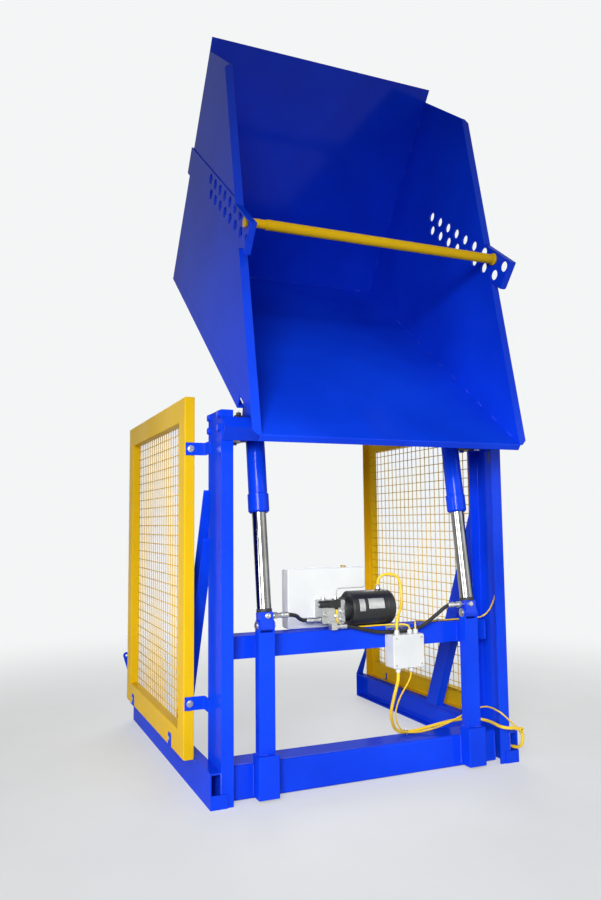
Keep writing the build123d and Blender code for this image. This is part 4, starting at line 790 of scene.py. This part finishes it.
def ledge_lug(name, spot):
    """An upright lug on a guard ledge, with its top corners rounded."""
    bpy.ops.object.select_all(action="DESELECT")
    bpy.ops.mesh.primitive_cube_add(size=0.001)
    lug = bpy.context.object
    lug.name = name
    bpy.ops.object.mode_set(mode="EDIT")
    bpy.ops.mesh.select_mode(type="EDGE")
    bpy.ops.mesh.select_all(action="SELECT")
    bpy.ops.transform.resize(value=LUG_SIZE, center_override=(0, 0, 0))
    bpy.ops.mesh.select_all(action="DESELECT")
    bpy.ops.object.mode_set(mode="OBJECT")
    for edge in lug.data.edges:
        first, second = (lug.data.vertices[v].co for v in edge.vertices)
        edge.select = min(first.z, second.z) > 0 and abs(first.y - second.y) < 1e-6
    bpy.ops.object.mode_set(mode="EDIT")
    bpy.ops.mesh.bevel(offset=LUG_CORNER / 1000, segments=5)
    bpy.ops.mesh.select_mode(type="VERT")
    bpy.ops.object.mode_set(mode="OBJECT")
    eased(lug, 0.4)
    set_down(lug, spot, UP)
    dressed(lug, "frame", blue)


lug_bolt_spots = []
for side, word in SIDES.items():
    for number, y in enumerate((-329, 598), 1):
        ledge_lug(f"{word}_ledge_lug_{number}", (side * 864.5, y, 176))
        lug_bolt_spots.append(((side * 866, y, 182), (side, 0, 0), "frame"))
lug_bolt = eased(turned("lug_bolt", [(0, 11), (5, 11), (5.6, 9), (5.6, 5)], sides=6), 0.5)
fitted(lug_bolt, zinc, lug_bolt_spots)


def ring_plate(name, radius, thickness, bore, dish, ease):
    """A washer or keeper, dished round the bolt or pin that fills its bore."""
    steps = [(0, radius), (thickness, radius), (thickness, bore), (dish, bore)]
    return eased(turned(name, steps, sides=32), ease)


# Washers under the bolt heads
web_washer = ring_plate("web_washer", radius=19.5, thickness=3, bore=12, dish=1, ease=0.5)
web_spots = [
    ((side * 762, y, z), (side, 0, 0), "frame")
    for side in SIDES
    for y in (-819.5, -667.5)
    for z in (1649.5, 1710.5)
]
fitted(web_washer, blue, web_spots)
tab_washer = ring_plate("tab_washer", radius=16.5, thickness=2.5, bore=10, dish=1, ease=0.4)
tab_spots = [((side * 834, -597, z), TOWARD, "frame") for side in SIDES for z in (395, 1572)]
fitted(tab_washer, zinc, tab_spots)
bearing_washer = ring_plate(
    "bearing_washer", radius=15.5, thickness=2.5, bore=10, dish=1, ease=0.4
)
bearing_spots = [((side * 644, y, 1626), UP, "frame") for side in SIDES for y in (-805, -669)]
fitted(bearing_washer, zinc, bearing_spots)

# Grease nipples, and keepers on the rams' lower pins
nipple_steps = [(0, 4.5), (3, 4.5), (3, 2.6), (6, 2.6), (8, 3.2), (9.5, 2.2)]
nipple_spots = [((side * 644, -737, 1734), UP, "frame") for side in SIDES]
nipple = eased(turned("grease_nipple", nipple_steps, sides=12), 0.2)
fitted(nipple, zinc, nipple_spots)
keeper = ring_plate("pin_keeper", radius=21, thickness=4, bore=15.4, dish=2, ease=0.5)
keeper_spots = [((side * 587, PIN_Y, PIN_Z), (side, 0, 0), "frame") for side in SIDES]
keeper_spots += [((side * 511, PIN_Y, PIN_Z), (-side, 0, 0), "frame") for side in SIDES]
fitted(keeper, zinc, keeper_spots)


# Guard mesh: round wires in two layers, the upright ones inside

MESH_PITCH, WIRE_RADIUS, WIRE_END = 0.0508, 2.25, 1.4


def wires(name, length, count, spot, along, node):
    """A row of parallel wires at the mesh's pitch."""
    steps = [(0, WIRE_END), (1, WIRE_RADIUS), (length - 1, WIRE_RADIUS), (length, WIRE_END)]
    row = turned(name, steps, sides=10)
    repeated(row, (0, MESH_PITCH, 0), count)
    bpy.ops.object.shade_smooth_by_angle(angle=math.radians(50))
    set_down(row, spot, along)
    dressed(row, "frame", wire_yellow)
    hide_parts(node)


for side, word in SIDES.items():
    mesh = f"{word}_guard_mesh"
    wires(mesh + "_uprights", 1449, 22, (side * 817.25, 636.9, 258), UP, mesh)
    wires(mesh + "_levels", 1161, 28, (side * 821.75, -477, 296.65), AWAY, mesh)


# Weld beads

slope = math.radians(38.3)
along_slide = Vector((0, math.cos(slope), math.sin(slope)))
off_slide = Vector((0, -math.sin(slope), math.cos(slope)))
chute_lip = Vector((0, -737, 1670)) - along_slide * 353 + off_slide * 172.6
PLATFORM = 1931
STITCHES = {"stitch": 40, "pitch": 150}
THIN_BEAD, RIPPLE = 3.5, 0.9


def chute_spot(across, along, out):
    """A point of the chute: across it, along its slide from the lip, and out from the slide."""
    return chute_lip + Vector((across, 0, 0)) + along_slide * along + off_slide * out


def weld(name, start, end, body, size=4.0, stitch=0, pitch=0):
    """A run of weld ripples between two points, whole or in stitches."""
    run = Vector(end) - Vector(start)
    bpy.ops.object.select_all(action="DESELECT")
    bpy.ops.mesh.primitive_uv_sphere_add(segments=8, ring_count=5, radius=size / 1000)
    bead = bpy.context.object
    bead.name = name
    bpy.ops.object.mode_set(mode="EDIT")
    bpy.ops.mesh.select_all(action="SELECT")
    bpy.ops.transform.resize(value=(1, 1, 0.8), center_override=(0, 0, 0))
    bpy.ops.object.mode_set(mode="OBJECT")
    ripple = size * RIPPLE
    repeated(bead, (0, 0, ripple / 1000), round((stitch or run.length) / ripple))
    if stitch:
        repeated(bead, (0, 0, pitch / 1000), 1 + int((run.length - stitch) / pitch))
    bpy.ops.object.shade_smooth_by_angle(angle=math.radians(70))
    set_down(bead, start, run)
    dressed(bead, body, weld_blue)


for side, word in SIDES.items():
    wall, column_in, column_out = side * 669, side * 705, side * 762
    start, end = chute_spot(wall, PLATFORM, 30), chute_spot(wall, PLATFORM, 1200)
    weld(f"{word}_platform_weld", start, end, "chute", **STITCHES)
    start, end = chute_spot(wall, 80, 0), chute_spot(wall, 1910, 0)
    weld(f"{word}_slide_weld", start, end, "chute", **STITCHES)
    for edge in (499.5, 598.5):
        x = side * edge
        weld(f"{word}_socket_weld_{edge:.0f}", (x, -796, 22), (x, -796, 150), "frame")
    for edge in (511, 587):
        x = side * edge
        weld(f"{word}_post_weld_{edge}", (x, -846, 200), (x, -798, 200), "frame", THIN_BEAD)
    start, end = (side * 580, -847, 200), (side * 548, -847, 200)
    weld(f"{word}_post_front_weld", start, end, "frame", THIN_BEAD)
    for edge in (529, 569):
        x = side * edge
        weld(f"{word}_tie_weld_{edge}", (x, -744, 610), (x, -744, 702), "frame", THIN_BEAD)
    weld(f"{word}_beam_end_weld", (column_in, -796, 12), (column_in, -796, 150), "frame")
    weld(f"{word}_middle_end_weld", (column_in, -744, 608), (column_in, -744, 702), "frame")
    start, end = (column_out, -845, 64), (column_out, -845, 150)
    weld(f"{word}_column_foot_weld", start, end, "frame", THIN_BEAD)
start, end = chute_spot(-640, PLATFORM, 0), chute_spot(640, PLATFORM, 0)
weld("platform_foot_weld", start, end, "chute", **STITCHES)

# Moulding seam round the oil tank
SEAM_WIDTH, SEAM_RISE = 0.003, 0.0012
bpy.ops.object.select_all(action="DESELECT")
seam = bpy.data.objects.new("tank_seam", nodes["reservoir"].data.copy())
bpy.context.scene.collection.objects.link(seam)
seam.select_set(True)
bpy.context.view_layer.objects.active = seam
bpy.ops.object.mode_set(mode="EDIT")
bpy.ops.mesh.select_all(action="SELECT")
bpy.ops.mesh.remove_doubles(threshold=0.00001)
seam_low, seam_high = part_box("reservoir")
seam_y = (seam_low.y + seam_high.y) / 2
for depth, front in ((seam_y - SEAM_WIDTH / 2, True), (seam_y + SEAM_WIDTH / 2, False)):
    kept = {"clear_inner": front, "clear_outer": not front}
    bpy.ops.mesh.select_all(action="SELECT")
    bpy.ops.mesh.bisect(plane_co=(0, depth, 0), plane_no=AWAY, **kept)
bpy.ops.object.mode_set(mode="OBJECT")
applied(seam, "SOLIDIFY", thickness=SEAM_RISE, offset=1)
dressed(seam, "frame", tank_white)


# Studio

bpy.ops.object.select_all(action="DESELECT")
bpy.ops.mesh.primitive_plane_add(size=60, location=(0, 0, -0.0005))
floor = bpy.context.object
floor.name = "studio_floor"
floor_finish, floor_tree, floor_shader = new_finish("studio_floor")
floor_drift = place_noise(floor_tree, 3, 5)
floor_tone = tone(floor_tree, floor_drift, (0.76, 0.77, 0.77), (0.80, 0.81, 0.81))
floor_tree.links.new(floor_tone, floor_shader.inputs["Base Color"])
floor_shader.inputs["Roughness"].default_value = 0.7
floor_shader.inputs["Specular IOR Level"].default_value = 0.15
BACKDROP = (0.90, 0.92, 0.92, 1)


def seen_ray(tree):
    """One for rays from the camera, in reflections and through glass, and zero for light."""
    path = tree.nodes.new("ShaderNodeLightPath")
    total = path.outputs["Is Camera Ray"]
    for ray in ("Is Glossy Ray", "Is Transmission Ray"):
        either = tree.nodes.new("ShaderNodeMath")
        either.operation = "MAXIMUM"
        tree.links.new(total, either.inputs[0])
        tree.links.new(path.outputs[ray], either.inputs[1])
        total = either.outputs["Value"]
    return total


floor_coords = floor_tree.nodes.new("ShaderNodeTexCoord")
far_off = floor_tree.nodes.new("ShaderNodeVectorMath")
far_off.operation = "LENGTH"
floor_tree.links.new(floor_coords.outputs["Object"], far_off.inputs[0])
fade = floor_tree.nodes.new("ShaderNodeMapRange")
fade.interpolation_type = "SMOOTHSTEP"
fade.inputs["From Min"].default_value = 1.4
fade.inputs["From Max"].default_value = 5.0
fade.inputs["To Min"].default_value = 0.45
floor_tree.links.new(far_off.outputs["Value"], fade.inputs["Value"])
shown = floor_tree.nodes.new("ShaderNodeMath")
shown.operation = "MULTIPLY"
floor_tree.links.new(fade.outputs["Result"], shown.inputs[0])
floor_tree.links.new(seen_ray(floor_tree), shown.inputs[1])
far_floor = floor_tree.nodes.new("ShaderNodeEmission")
far_floor.inputs["Color"].default_value = BACKDROP
floor_mix = floor_tree.nodes.new("ShaderNodeMixShader")
floor_tree.links.new(shown.outputs["Value"], floor_mix.inputs["Fac"])
floor_tree.links.new(floor_shader.outputs["BSDF"], floor_mix.inputs[1])
floor_tree.links.new(far_floor.outputs["Emission"], floor_mix.inputs[2])
floor_out = floor_tree.nodes["Material Output"]
floor_tree.links.new(floor_mix.outputs["Shader"], floor_out.inputs["Surface"])
floor.data.materials.append(floor_finish)

world = bpy.data.worlds.new("studio")
bpy.context.scene.world = world
world.use_nodes = True
world_tree = world.node_tree
sky = world_tree.nodes["Background"]
sky.inputs["Color"].default_value = (0.94, 0.96, 0.98, 1)
sky.inputs["Strength"].default_value = 0.20
backdrop = world_tree.nodes.new("ShaderNodeBackground")
backdrop.inputs["Color"].default_value = BACKDROP
backdrop.inputs["Strength"].default_value = 1.0
chosen = world_tree.nodes.new("ShaderNodeMixShader")
world_tree.links.new(seen_ray(world_tree), chosen.inputs["Fac"])
world_tree.links.new(sky.outputs["Background"], chosen.inputs[1])
world_tree.links.new(backdrop.outputs["Background"], chosen.inputs[2])
world_out = world_tree.nodes["World Output"]
world_tree.links.new(chosen.outputs["Shader"], world_out.inputs["Surface"])


def soft_box(name, spot, aim, size, spread_angle, watts):
    """A soft lamp that looks at a point, with a grid that holds its beam to an angle."""
    turn = (Vector(aim) - Vector(spot)).to_track_quat("-Z", "Y").to_euler()
    bpy.ops.object.light_add(type="AREA", location=spot, rotation=turn)
    lamp = bpy.context.object
    lamp.name = name
    lamp.data.shape = "RECTANGLE"
    lamp.data.size, lamp.data.size_y = size
    lamp.data.spread = math.radians(spread_angle)
    lamp.data.energy = watts


soft_box("key", (-2.8, -5.2, 2.4), (0.15, -0.6, 0.70), (2.0, 2.0), spread_angle=56, watts=40)
soft_box("fill", (3.8, -4.8, 2.4), (0, -0.2, 1.0), (3.0, 3.0), spread_angle=120, watts=13)
soft_box("side", (-5.0, -1.8, 1.3), (-0.8, -0.3, 0.7), (2.0, 2.0), spread_angle=52, watts=10)
soft_box("rear", (2.6, 6.0, 4.6), (0, 0.3, 1.4), (4.0, 3.0), spread_angle=180, watts=200)
